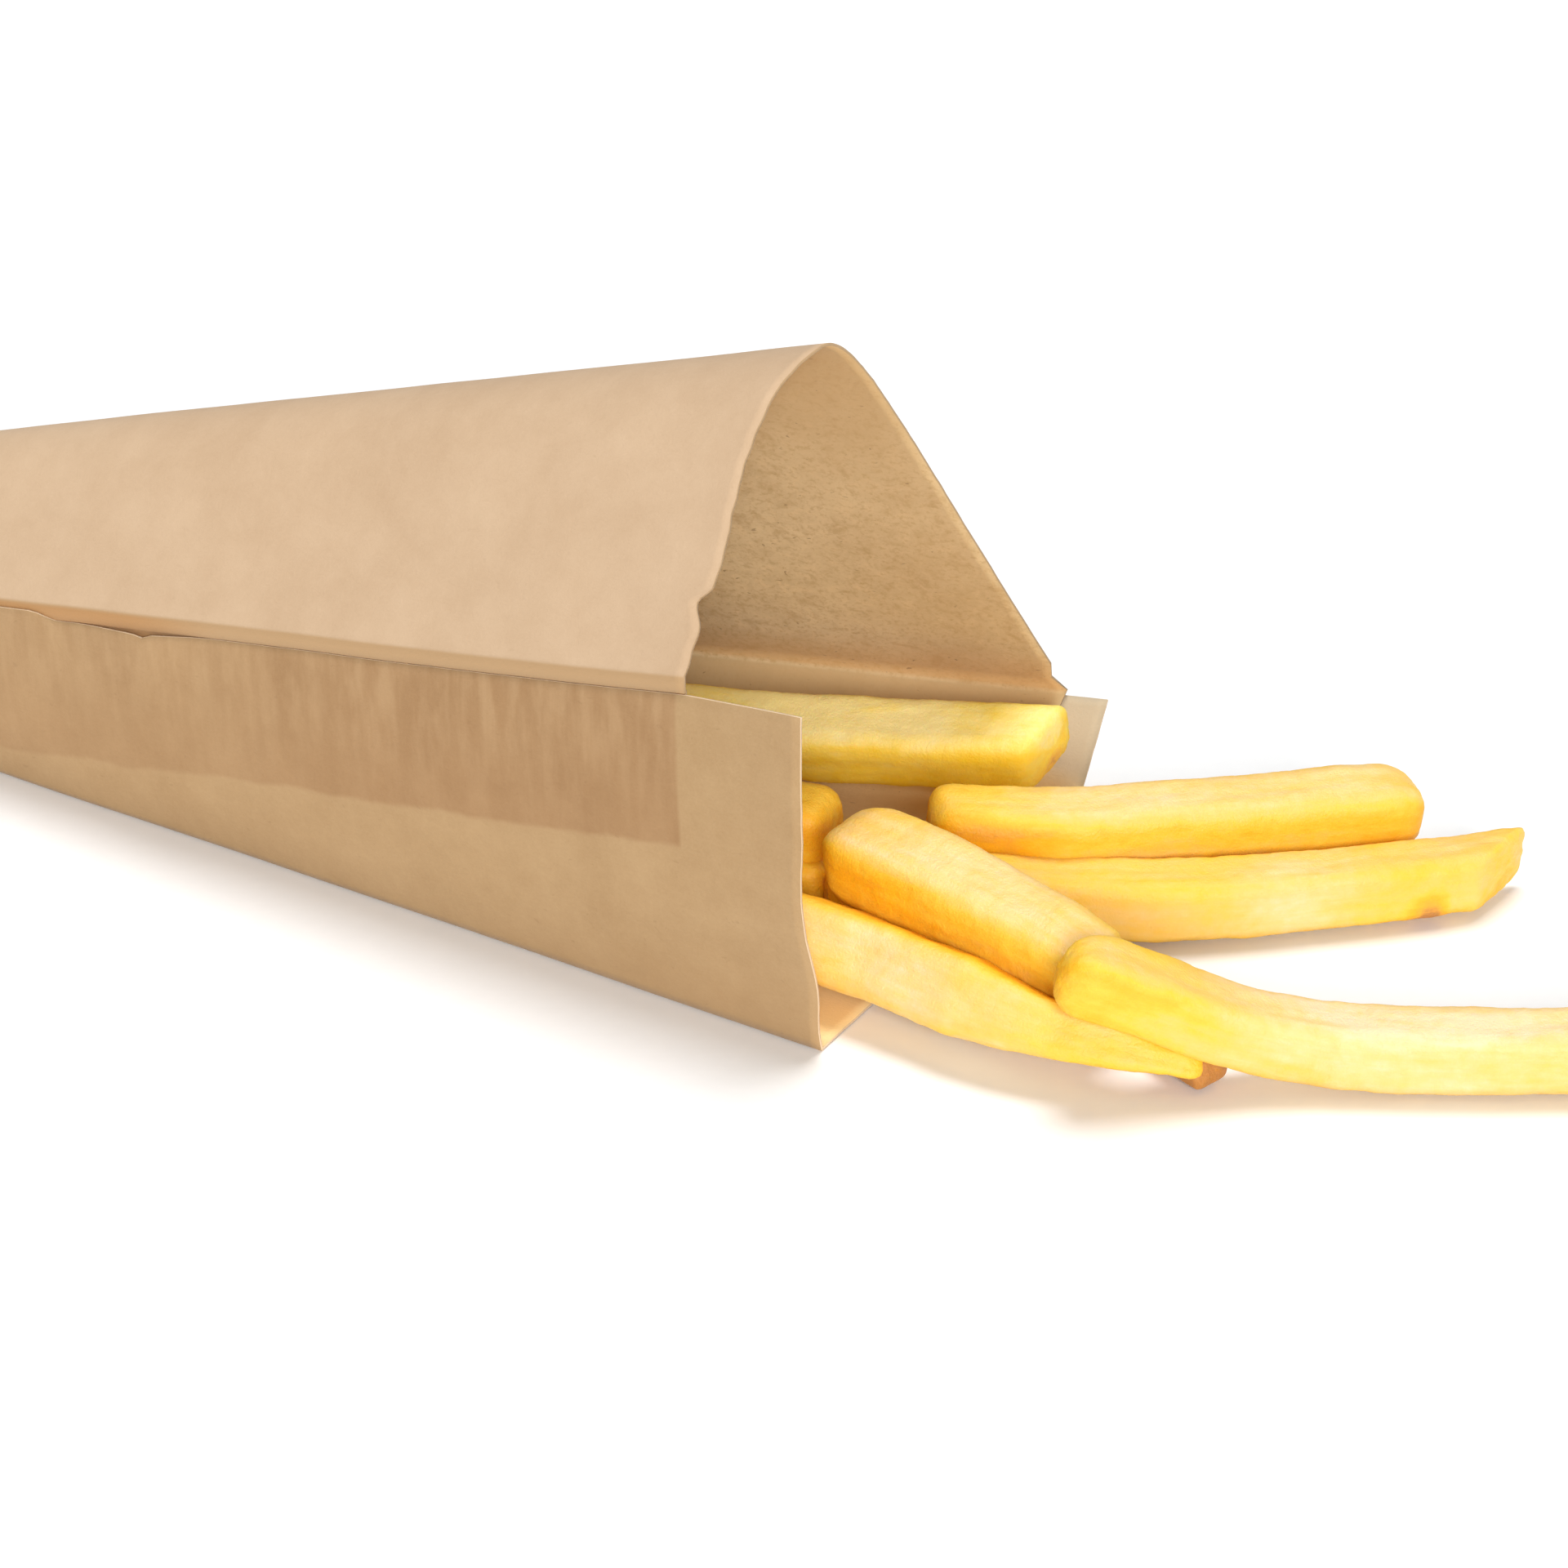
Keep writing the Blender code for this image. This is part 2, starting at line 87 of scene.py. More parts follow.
# Front edges: where they lie along the cone, and their unevenness as (length, row of the noise, size). A dent
# is its height on the edge, its reach and how far it moves the edge.
ROOF_AT_NEAR_FOLD = 263.2
ROOF_CORNER = 0.6  # how far the roof's edge starts past the near fold's end
ROOF_AT_PEAK = 266.0
ROOF_AT_FAR_FOLD = 274.4
PEAK_TURN = 10.0  # width before the peak over which the edge comes forward
TORN = ((9.0, 0.0, 0.15), (2.1, 7.0, 0.2))
ROOF_DENTS = ((60.0, 6.0, 0.4), (70.0, 6.0, -0.4))
FAR_DENTS = ((16.5, 1.2, -1.2),)
LIP_DENTS = ((9.0, 7.0, 0.7), (21.0, 9.0, -0.5))
NICK = (52.6, 57.0)  # foot and top of the roof edge's nick
NICK_EASE = (2.8, 1.5)  # height over which it opens at its foot and at its top
NICK_DEPTH = 1.3
FAR_TORN = 0.5  # unevenness of the roof's far edge and of the lip, as shares
LIP_TORN = 0.35
LIP_BACK = 0.3
LIP_DROP = 1.2  # how much lower the near lip's front corner is

# Near wall's cut edge where it is loose: a gap with a notch in it, and behind them a stretch that stands up
LOOSE_SHARE = 0.25  # share of the wall's rows that moves
NOTCH_AT = 181.0
GAP_REACH = 12.0
GAP_OUT = 0.4
GAP_DROP = 0.35
NOTCH_REACH = 1.5
NOTCH_DROP = 0.5
RAISED = (100.0, 167.0)
RAISED_FADE = (30.0, 5.0)
RAISED_OUT = 0.3
RAISED_LIFT = 1.1

# Closed tip
NOSE_POINT = 0.8
NOSE_LENGTH = 19.5
NOSE_STEPS = 10
NOSE_FIT = 0.985  # the nose's share of the panels' section, and how far it stands off the ground
NOSE_LIFT = 0.002
NOSE_ON_SHEET = (-5.0, 40.0)  # its place on the flat paper, away from the fold and the flaps
ROOF_FACING = 0.3  # a face of the nose that points up more than this has the roof's paper, with painted light; the rest has the wall's, with painted shade
LOWER_START = 13.0
UPPER_START = 17.0

# Fineness of the sheets
SECTION_SAMPLES = 60  # sections that the rows are read from, up to a little past the mouth
PAST_MOUTH = 2.0
STATIONS = 170  # rows between the tip and the mouth
ROW_CROWDING = 0.9  # under 1, rows lie closer together at the mouth
WALL_CURVE_STEPS = 24
NEAR_WALL_STEPS = 34
BOTTOM_STEPS = 22
BEND_STEPS = 8
FAR_WALL_STEPS = 8
NEAR_FLAP_STEPS = 14
NEAR_ROOF_STEPS = 84
FAR_ROOF_STEPS = 52
FAR_FLAP_STEPS = 8
FAR_FLAP_TOP = 0.08  # share of the far flap that the roof's fold takes

# Unevenness of the paper
WAVE_LENGTH = 42.0
WAVE_HEIGHT = 0.34
CRINKLE_LENGTH = 11.0
CRINKLE_HEIGHT = 0.07
CRINKLE_START = Vector((9.0, 4.0, 2.0))
FLOOR_FADE = 7.0  # height over which the paper's waves grow from nothing on the ground

# Camera, as a spot from the tip and its turn round the cone
CAMERA_SPOT = (502.894, -445.645, 264.177)
CAMERA_TURN = 28.764
CAMERA_ELEVATION = 26.0
CAMERA_LENS = 107.76
CAMERA_SENSOR = 36.0

# Light: for each far, soft lamp its name, turn round the cone, elevation, width as an angle, and what share
# of white it gives a surface that faces it. Then the same for the even white surroundings, and the ground.
LAMPS = (
    ("key_lamp", 195.0, 80.0, 28.0, 0.68),
    ("front_lamp", 36.0, 20.0, 22.0, 0.84),
)
SURROUNDINGS = 0.26
SURROUNDINGS_TINT = (0.91, 0.965, 1.0, 1.0)
GROUND = 0.98
GROUND_GRAIN = (0.98, 1.02)
GROUND_SIZE = 8.0  # metres
GROUND_DROP = 0.0002  # metres

# Papers: name, dark and light tone as a picture's colours, and how strong the clouds, fibres and flecks are
PAPERS = (
    # The roof's and the wall's outsides are one paper: the roof's paler tones are painted light, and the
    # wall's darker, browner tones are painted shade
    ("roof_paper_painted_light", (187, 155, 121), (204, 174, 141), 1.8, 0.7, 0.05),
    ("wall_paper_painted_shade", (163, 128, 85), (187, 154, 111), 1.4, 0.9, 0.15),
    ("roof_inside_paper", (200, 172, 126), (234, 210, 166), 1.6, 0.8, 0.5),
    ("base_inside_paper", (204, 171, 120), (241, 213, 165), 1.6, 2.2, 0.3),
    # The roof's cut edge is darkened with painted shade against the lamps that face it
    ("roof_edge_paper_painted_shade", (160, 130, 94), (188, 156, 116), 0.6, 1.0, 0.0),
    ("lip_edge_paper", (206, 174, 134), (232, 206, 172), 0.6, 1.0, 0.0),
)
PAPER_SHADER = {"Roughness": 0.86, "Sheen Weight": 0.08}
PAPER_RELIEF = (0.00012, 0.8)  # height in metres and strength
FLECK = (120, 84, 48)
GLUE_STAIN = (234, 222, 212)
GLUE_STREAK = (214, 178, 135)
GLUE_END = (262.4, 263.1)  # along the cone
GLUE_SPREAD = 0.125  # width of the glued zone for each millimetre from the tip
# Painted shade that darkens the near wall towards its foot on the ground
WALL_FOOT_SHADE = (190, 150, 102)
# Painted shade on the strip where the roof turns down at the near fold
FOLD_TURN_SHADE = (178, 142, 99)
# Painted shadow in the gap under the fold where the near wall's cut edge stands off
FOLD_GAP_SHADOW = (178, 130, 78)
MOTTLE_DARK = (182, 148, 98)
MOTTLE_PALE = (236, 208, 160)
GRAIN_DARK = (184, 150, 100)
# Painted shade inside the roof, towards the peak and towards the mouth's edge
PAINTED_ROOF_SHADE = (190, 153, 103)
FAR_FOLD_BROWN = (208, 154, 86)
FAR_FLAP_GREY = (198, 166, 118)
FAR_WALL_FOOT = (112.0, 118.0)  # across the lower panel
FAR_LIP_GREY = (184, 168, 143)
# Painted light on the inside of the bottom at the mouth, as if bounced from the fries
BOTTOM_FRONT_LIGHT = (255, 224, 164)

# The fries' skin: its colour for how fried it is, for most of the fries and for a lemon yellow one, whose
# brighter tones are partly a real lemon hue and partly painted light for the fry in the roof's shade
GOLDEN_TONES = (
    (0.0, (246, 215, 166)), (0.14, (245, 208, 138)), (0.34, (246, 199, 100)), (0.54, (249, 197, 58)),
    (0.74, (248, 181, 22)), (0.88, (236, 168, 46)), (1.0, (190, 128, 60)),
)
LEMON_AND_LIT_TONES = (
    (0.0, (252, 232, 150)), (0.14, (252, 227, 128)), (0.34, (252, 218, 78)), (0.54, (250, 208, 36)),
    (0.74, (248, 192, 16)), (0.88, (236, 172, 40)), (1.0, (190, 128, 60)),
)
CLOUD_SHARE = 0.65  # how much clouds, streaks, spots, edges and the rims of cuts change how fried it looks
STREAK_SHARE = 0.3
SPOTS_SHARE = 0.32
EDGE_SHARE = 0.05
CUT_SHARE = 0.3
# Light that goes through the flesh: its share, its reach by colour and its depth in metres
FLESH_SHADER = {"Subsurface Weight": 0.25, "Subsurface Radius": (1.0, 0.55, 0.18), "Subsurface Scale": 0.003}
SKIN_RELIEF = (0.00026, 0.8)

# Fries: the middle line as points, the size, the roll in degrees and both cuts' slant; the tip's share
# of the full size and where along the fry it starts to narrow; how fried the four sides are (near, top, far,
# under), which also holds painted light and shade, paler on top and deeper under and in front; how round both
# ends are and how fried; two spots as (place along it, sideways, up, radius, how much more fried); how square
# the section is; and how far its yellow leans to lemon, whose brighter tones are partly painted light
Fry = namedtuple("Fry", "line width height roll cuts tip sides rounds ends spots square lemon",
                 defaults=((1.0, 0.6), (0.5, 0.3, 0.5, 0.7), (2.0, 2.0), (0.1, 0.1), (), 3.6, 0.0))
FRIES = {
    # This fry lies in the roof's shade; its lean to the brighter lemon tones is partly painted light
    "under_roof": Fry(
        [(204, 11.0, 9.6), (233, 20.2, 9.7), (254, 26.4, 10.1), (276.8, 34.2, 10.9)],
        9.6, 9.2, 24, (0.1, -0.5), lemon=0.8, sides=(0.4, 0.12, 0.4, 0.6), rounds=(1.6, 2.2), ends=(0.3, 0.1),
        spots=((44.0, -2.0, 5.0, 9.0, -0.2), (62.0, -1.0, 5.0, 8.0, -0.15))),
    "near_stub": Fry(
        [(212, -10.0, 12.4), (240, -7.0, 13.0), (266.0, -3.2, 13.6)],
        9.0, 8.4, 10, (0.2, -0.1), sides=(0.58, 0.5, 0.6, 0.7), rounds=(1.6, 4.2), ends=(0.2, 0.1)),
    "low_stub": Fry(
        [(222, -9.0, 6.3), (266.0, -4.6, 6.8)],
        8.0, 7.8, 5, (0.0, 0.2), sides=(0.6, 0.56, 0.7, 0.7), rounds=(1.6, 3.6), ends=(0.2, 0.1)),
    "crossing": Fry(
        [(272.4, -10.3, 15.8), (289.9, -14.5, 14.9), (302.5, -17.4, 13.5), (309.5, -19.4, 12.4)],
        10.8, 11.0, 14, (-0.1, 0.2), (0.86, 0.2), sides=(0.64, 0.22, 0.4, 0.8), rounds=(7.4, 1.6),
        ends=(0.04, 0.1)),
    "front": Fry(
        [(232, -15.0, 7.6), (271.5, -19.2, 7.8), (284.3, -20.2, 7.2), (302.1, -23.8, 7.0),
         (313.0, -22.6, 6.0), (321.5, -19.5, 4.2)],
        9.8, 9.8, 60, (0.0, 0.2), (0.36, 0.72), sides=(0.24, 0.24, 0.66, 0.4), rounds=(1.6, 4.0),
        ends=(0.4, 0.34)),
    "long_curved": Fry(
        [(309.2, -27.0, 16.7), (316.0, -21.7, 13.0), (323.6, -15.9, 8.3), (331.5, -10.8, 5.8),
         (341.6, -6.2, 5.1), (357.8, 2.6, 5.0), (372.0, 12.5, 5.0)],
        8.6, 8.4, 12, (-0.2, 0.3), sides=(0.26, 0.09, 0.3, 0.4), rounds=(5.6, 1.6), ends=(0.36, 0.0)),
    "upper_right": Fry(
        [(275.2, 7.6, 10.8), (288.6, 14.8, 10.5), (304.3, 27.5, 10.2), (322.0, 42.9, 10.0)],
        9.8, 9.8, 12, (0.2, 0.1), sides=(0.52, 0.24, 0.4, 0.6), rounds=(4.0, 7.0), ends=(0.3, 0.05),
        square=3.2),
    "lower_right": Fry(
        [(270.0, -8.4, 8.8), (288.9, 7.0, 5.6), (304.5, 15.6, 5.0), (320.3, 28.4, 4.9), (334.3, 42.2, 4.6)],
        8.8, 8.4, 6, (0.0, -1.2), (0.94, 0.6), sides=(0.4, 0.44, 0.4, 0.6), rounds=(1.6, 1.6),
        ends=(0.34, 0.0), spots=((72.0, 4.4, -2.6, 4.6, 0.62), (56.0, 3.4, 1.0, 13.0, -0.28))),
    "dark_end": Fry(
        [(322.0, -16.2, 2.4), (310.6, -10.8, 2.4)],
        6.2, 4.2, 0, (0.2, 0.0), sides=(0.94, 0.94, 0.94, 0.94), rounds=(1.4, 1.2), ends=(0.05, 0.0)),
}

# How every fry is made
LINE_POINTS = 72
FRY_FINENESS = (220, 72)  # rings along a fry and points round it
DEEP_FINENESS = (120, 44)
CAP_SHARE = 0.085  # share of the rings that closes each end
CAP_POWER = 0.7  # under 1, the ends are blunter than a ball
END_ROUND = 1.1  # how far a rounded end reaches past the middle line
CUT_REACH = 9.0  # how far along the fry a slanted cut is felt
WANDER_LENGTH = 14.0  # length over which the thickness changes
SEED_STEP = 53.0  # moves each fry to its own place in the skin's noise
SIZE_SEED_STEP = 31.7
EDGE_POWER = 2.5  # over 1, only the strip along an edge counts as one
WELD = 0.000004  # metres
FRY_MEASURES = (
    "Width", "Height", "Roll", "Square", "Lemon", "Seed", "Start Round", "End Round", "Start Cut", "End Cut",
    "Tip", "Tip Start", "Near Side", "Top Side", "Far Side", "Under Side", "Start Fry", "End Fry",
)
FRY_SKIN = (
    ("Sink", 0.035), ("Unevenness", 0.06), ("Lumps", 0.3), ("Blisters", 0.1), ("Pores", 0.035),
    ("Spot 1 Size", 1.0), ("Spot 1 Change", 0.0), ("Spot 2 Size", 1.0), ("Spot 2 Change", 0.0),
)

# Fries that lie on the core inside the cone, in three rows
SEED = 11
DEEP_SEED = 20
DEEP_FRIES = 9
DEEP_FRY_SIZE = 8.6
DEEP_FRY_LENGTH = 66.0
DEEP_FIRST = 98.0
DEEP_STEP = 14.0
DEEP_END = 236.0
DEEP_ROWS = (-14.3, 0.7, 11.6)
DEEP_SHIFT = 1.7
DEEP_SWING = 2.7
DEEP_LENGTHS = (0.85, 1.1)
DEEP_WIDTHS = (0.9, 1.08)
DEEP_FLATNESS = (0.92, 1.0)
DEEP_HEIGHTS = (0.5, 2.0)
DEEP_ROLLS = (-20.0, 35.0)
DEEP_TONES = (0.2, 0.6)
DEEP_LEMON = (0.2, 0.9)

# Core of the heap
CORE_START = 62.0
CORE_END = 234.0
CORE_STATIONS = 60
CORE_FLOOR = 1.0
CORE_TONE = 0.6
CORE_SHARE = 0.34
CORE_LEVEL = 11.5
CORE_SLOPE_START = 170.0
CORE_SLOPE_END = 251.0
CORE_FRONT = 9.5
CORE_SIDE_GAP = 2.4
CORE_FAR_LOSS = 0.62
CORE_OUTLINE = ((0.0, 0.0), (0.95, 0.0), (1.0, 0.45), (0.75, 1.0), (0.3, 1.06), (0.0, 0.8))


def bezier(start, handles, end, steps):
    """Points of a cubic curve in the section plane, both ends included."""
    points = []
    for step in range(steps + 1):
        t = step / steps
        weights = ((1 - t) ** 3, 3 * t * (1 - t) ** 2, 3 * t * t * (1 - t), t ** 3)
        corners = (start, *handles, end)
        points.append(tuple(sum(w * c[axis] for w, c in zip(weights, corners)) for axis in (0, 1)))
    return points


def mix(start, end, share):
    """A point part of the way from one point to another."""
    return tuple(a + (b - a) * share for a, b in zip(start, end))


def scaled(point, x):
    """A corner of the mouth's section, brought to the section at x."""
    share = x / CONE_LENGTH
    return (point[0] * share, point[1] * share)


WALL_CURVE = bezier(NEAR_FOOT, NEAR_WALL_HANDLES, NEAR_FOLD, WALL_CURVE_STEPS)
lower_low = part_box("lower_panel")[0]
TIP = Vector((lower_low[0] - NOSE_POINT * MM, lower_low[1] - min(y for y, z in WALL_CURVE) * MM, 0.0))


def world(point):
    """A place given from the tip in millimetres, as metres in the frame."""
    return TIP + Vector(point) * MM


def near_wall_y(x, z):
    """Where the outer face of the near wall stands at a height."""
    share = x / CONE_LENGTH
    ys = [y * share for y, height in WALL_CURVE]
    heights = [height * share for y, height in WALL_CURVE]
    return float(np.interp(z, heights, ys))


def reveal(x):
    """Height of the rounded fold that shows above the near wall's cut edge."""
    return min(FOLD_REVEAL, REVEAL_SHARE * scaled(NEAR_FOLD, x)[1])


def lower_section(x):
    """Outer face of the lower panel at x, from the near wall's cut edge round to the far wall's."""
    top = scaled(NEAR_FOLD, x)[1] - reveal(x)
    if x > ROOF_AT_NEAR_FOLD:
        top -= LIP_DROP * (x - ROOF_AT_NEAR_FOLD) / (CONE_LENGTH - ROOF_AT_NEAR_FOLD)
    heights = [top * (1 - step / NEAR_WALL_STEPS) for step in range(NEAR_WALL_STEPS)]
    near_wall = [(near_wall_y(x, z), z) for z in heights]
    bend = FAR_BEND * x / CONE_LENGTH
    near_foot, far_foot, far_fold = [scaled(corner, x) for corner in (NEAR_FOOT, FAR_FOOT, FAR_FOLD)]
    wall_length = (Vector(far_fold) - Vector(far_foot)).length
    bend_start = (far_foot[0] - bend, 0.0)
    bend_end = mix(far_foot, far_fold, bend / wall_length)
    bottom = [mix(near_foot, bend_start, step / BOTTOM_STEPS) for step in range(BOTTOM_STEPS)]
    far_bend = bezier(bend_start, (far_foot, far_foot), bend_end, BEND_STEPS)
    far_wall = [mix(bend_end, far_fold, (step + 1) / FAR_WALL_STEPS) for step in range(FAR_WALL_STEPS)]
    return near_wall + bottom + far_bend + far_wall


def upper_section(x):
    """Outer face of the upper panel at x, from the far flap over the roof to the near flap."""
    corners = (NEAR_FOLD, FAR_FOLD, FAR_FOOT, PEAK)
    near_fold, far_fold, far_foot, peak = [scaled(corner, x) for corner in corners]
    cut = near_fold[1] - reveal(x)
    flap_foot = near_fold[1] - min(FLAP_WIDTH, FLAP_SHARE * near_fold[1])
    heights = [flap_foot + (cut - flap_foot) * step / NEAR_FLAP_STEPS for step in range(NEAR_FLAP_STEPS)]
    heights.append(cut + FLAP_TOP_RISE * reveal(x))
    near_flap = [(near_wall_y(x, z) + FLAP_INSET, z) for z in heights]
    near_turn = [(near_fold[0] + FOLD_TUCK, near_fold[1] - FOLD_TUCK_DROP * reveal(x))]
    near_roof = bezier(near_fold, [scaled(p, x) for p in NEAR_ROOF_HANDLES], peak, NEAR_ROOF_STEPS)
    far_roof = bezier(peak, [scaled(p, x) for p in FAR_ROOF_HANDLES], far_fold, FAR_ROOF_STEPS)[1:]
    lift = FAR_FOLD_LIFT * min(1.0, far_fold[1] / FAR_LIFT_FULL) / FAR_ROOF_STEPS
    far_roof = [(y, z + lift * (index + 1)) for index, (y, z) in enumerate(far_roof)]
    wall = Vector(far_foot) - Vector(far_fold)
    down = wall.normalized()
    inward = Vector((-abs(down.y), abs(down.x))) * (FLAP_INSET + FAR_FLAP_EXTRA)
    flap_length = min(FAR_FLAP_WIDTH, FLAP_SHARE * wall.length)
    shares = np.linspace(FAR_FLAP_TOP, 1.0, FAR_FLAP_STEPS + 1)
    far_flap = [tuple(Vector(far_fold) + inward + down * flap_length * share) for share in shares]
    outline = near_flap + near_turn + near_roof + far_roof + far_flap
    return outline[::-1]


def smooth(value):
    """Eases a share between 0 and 1."""
    value = min(1.0, max(0.0, value))
    return value * value * (3 - 2 * value)


def bump(value, middle, reach):
    """A soft hump, 1 at its middle and 0 beyond its reach."""
    return smooth(1 - abs(value - middle) / reach)


def torn(place, seed):
    """Small unevenness of a paper edge along its length."""
    return sum(size * noise.noise((place / length, seed, row)) for length, row, size in TORN)


def dents(height, rows):
    """How far an edge is moved at a height by its dents."""
    return sum(size * bump(height, middle, reach) for middle, reach, size in rows)


def roof_mouth(point, along_edge):
    """Place along X of the upper panel's front edge, with its uneven cut, its dents and its nick."""
    y, z = point
    if y > PEAK[0]:
        share = min(1.0, (y - PEAK[0]) / (FAR_FOLD[0] - PEAK[0]))
        front = ROOF_AT_PEAK + (ROOF_AT_FAR_FOLD - ROOF_AT_PEAK) * share
        return front + FAR_TORN * torn(along_edge, 2.0) + dents(z, FAR_DENTS)
    front = ROOF_AT_NEAR_FOLD + ROOF_CORNER
    front += (ROOF_AT_PEAK - front) * smooth((y - PEAK[0] + PEAK_TURN) / PEAK_TURN)
    nick = smooth((NICK[1] - z) / NICK_EASE[1]) * smooth((z - NICK[0]) / NICK_EASE[0])
    return front + torn(along_edge, 1.0) + dents(z, ROOF_DENTS) - NICK_DEPTH * nick


def lip_mouth(point, along_edge):
    """Place along X of the lower panel's front edge, with dents in its near wall."""
    y, z = point
    front = CONE_LENGTH - LIP_BACK + LIP_TORN * torn(along_edge, 3.0)
    on_near_wall = y < NEAR_FOOT[0] + 1.0
    return front + dents(z, LIP_DENTS) if on_near_wall else front


def paper_wave(point):
    """How far the paper strays at a place, the same for two sheets that lie together."""
    place = Vector(point)
    stray = noise.noise_vector(place / WAVE_LENGTH) * WAVE_HEIGHT
    stray += noise.noise_vector(place / CRINKLE_LENGTH + CRINKLE_START) * CRINKLE_HEIGHT
    stray.x = 0.0
    stray.z *= smooth(place.z / FLOOR_FADE)
    stray *= smooth(place.x / WAVE_LENGTH)
    return stray


def face_rows(data, rows, closed):
    """Faces between each row of points and the next, and round the whole ring where it is closed."""
    for row, following in zip(rows, rows[1:]):
        for index in range(len(row) if closed else len(row) - 1):
            after = (index + 1) % len(row)
            data.faces.new((row[index], row[after], following[after], following[index]))


def closed_body(data, rows):
    """Faces round all rings and over the first and last one, turned outward."""
    face_rows(data, rows, closed=True)
    data.faces.new(rows[0][::-1])
    data.faces.new(rows[-1])
    bmesh.ops.recalc_face_normals(data, faces=data.faces)


def in_scene(name, data):
    """An object with the data, put in the scene."""
    made = bpy.data.objects.new(name, data)
    bpy.context.scene.collection.objects.link(made)
    return made


def made_object(name, data, finishes):
    """An object with the mesh that has been gathered."""
    mesh = bpy.data.meshes.new(name)
    data.to_mesh(mesh)
    data.free()
    for finish in finishes:
        mesh.materials.append(finish)
    return in_scene(name, mesh)


def paper_sheet(name, section, start, mouth, fold, finishes, shape=None):
    """A sheet whose rulings run from the tip to the mouth. It keeps each point's place on the flat paper:
    along the cone, across from the near fold, and across from the far end of the section."""
    xs = np.linspace(start, CONE_LENGTH + PAST_MOUTH, SECTION_SAMPLES)
    sections = np.array([section(x) for x in xs])
    rim = section(CONE_LENGTH)
    steps = np.linalg.norm(np.diff(np.array(rim), axis=0), axis=1)
    along_edge = np.concatenate([[0.0], np.cumsum(steps)])
    ends = [mouth(point, place) for point, place in zip(rim, along_edge)]
    data = bmesh.new()
    on_sheet = data.verts.layers.float_vector.new("sheet_place")
    rows = []
    for station in range(STATIONS + 1):
        share = (station / STATIONS) ** ROW_CROWDING
        line = []
        for index, end in enumerate(ends):
            x = start + (end - start) * share
            y, z = [float(np.interp(x, xs, sections[:, index, axis])) for axis in (0, 1)]
            line.append(Vector((x, y, z)))
        lengths = np.cumsum([0.0] + [(after - before).yz.length for before, after in zip(line, line[1:])])
        row = []
        for index, point in enumerate(line):
            place = shape(point.copy(), index) if shape else point
            vert = data.verts.new(world(place + paper_wave(place)))
            vert[on_sheet] = (point.x, lengths[index] - lengths[fold], lengths[index])
            row.append(vert)
        rows.append(row)
    face_rows(data, rows, closed=False)
    for face in data.faces:
        face.smooth = True
    sheet = made_object(name, data, finishes)
    thick = sheet.modifiers.new("paper_thickness", "SOLIDIFY")
    thick.thickness = PAPER * MM
    thick.offset = -1.0
    thick.use_even_offset = True
    thick.material_offset = 1
    thick.material_offset_rim = 2
    return sheet


def loosened(place, index):
    """The near wall's cut edge stands off a little near the back, and dips to a notch."""
    near_top = smooth(1 - index / (LOOSE_SHARE * NEAR_WALL_STEPS))
    gap = bump(place.x, NOTCH_AT, GAP_REACH)
    notch = bump(place.x, NOTCH_AT, NOTCH_REACH)
    raised = smooth((place.x - RAISED[0]) / RAISED_FADE[0]) * smooth((RAISED[1] - place.x) / RAISED_FADE[1])
    place.y -= near_top * (GAP_OUT * gap + RAISED_OUT * raised)
    place.z -= near_top * (GAP_DROP * gap + NOTCH_DROP * notch - RAISED_LIFT * raised)
    return place


def pressed_tip(finishes):
    """The solid blunt nose where both panels are pressed together. Its faces that point up have the roof's
    paper with painted light, and the rest have the wall's paper with painted shade.
    """
    corners = [NEAR_FOOT, mix(NEAR_FOOT, FAR_FOOT, 0.5), FAR_FOOT, FAR_FOLD, mix(FAR_FOLD, PEAK, 0.5), PEAK,
               NEAR_FOLD]
    data = bmesh.new()
    on_sheet = data.verts.layers.float_vector.new("sheet_place")
    rows = []
    for x in np.linspace(NOSE_POINT, NOSE_LENGTH, NOSE_STEPS + 1):
        row = []
        for corner in corners:
            y, z = scaled(corner, x)
            vert = data.verts.new(world((x, y * NOSE_FIT, z * NOSE_FIT + NOSE_LIFT)))
            vert[on_sheet] = (x, *NOSE_ON_SHEET)
            row.append(vert)
        rows.append(row)
    closed_body(data, rows)
    for face in data.faces:
        face.material_index = int(face.normal.z > ROOF_FACING)
    return made_object("pressed_tip", data, finishes)


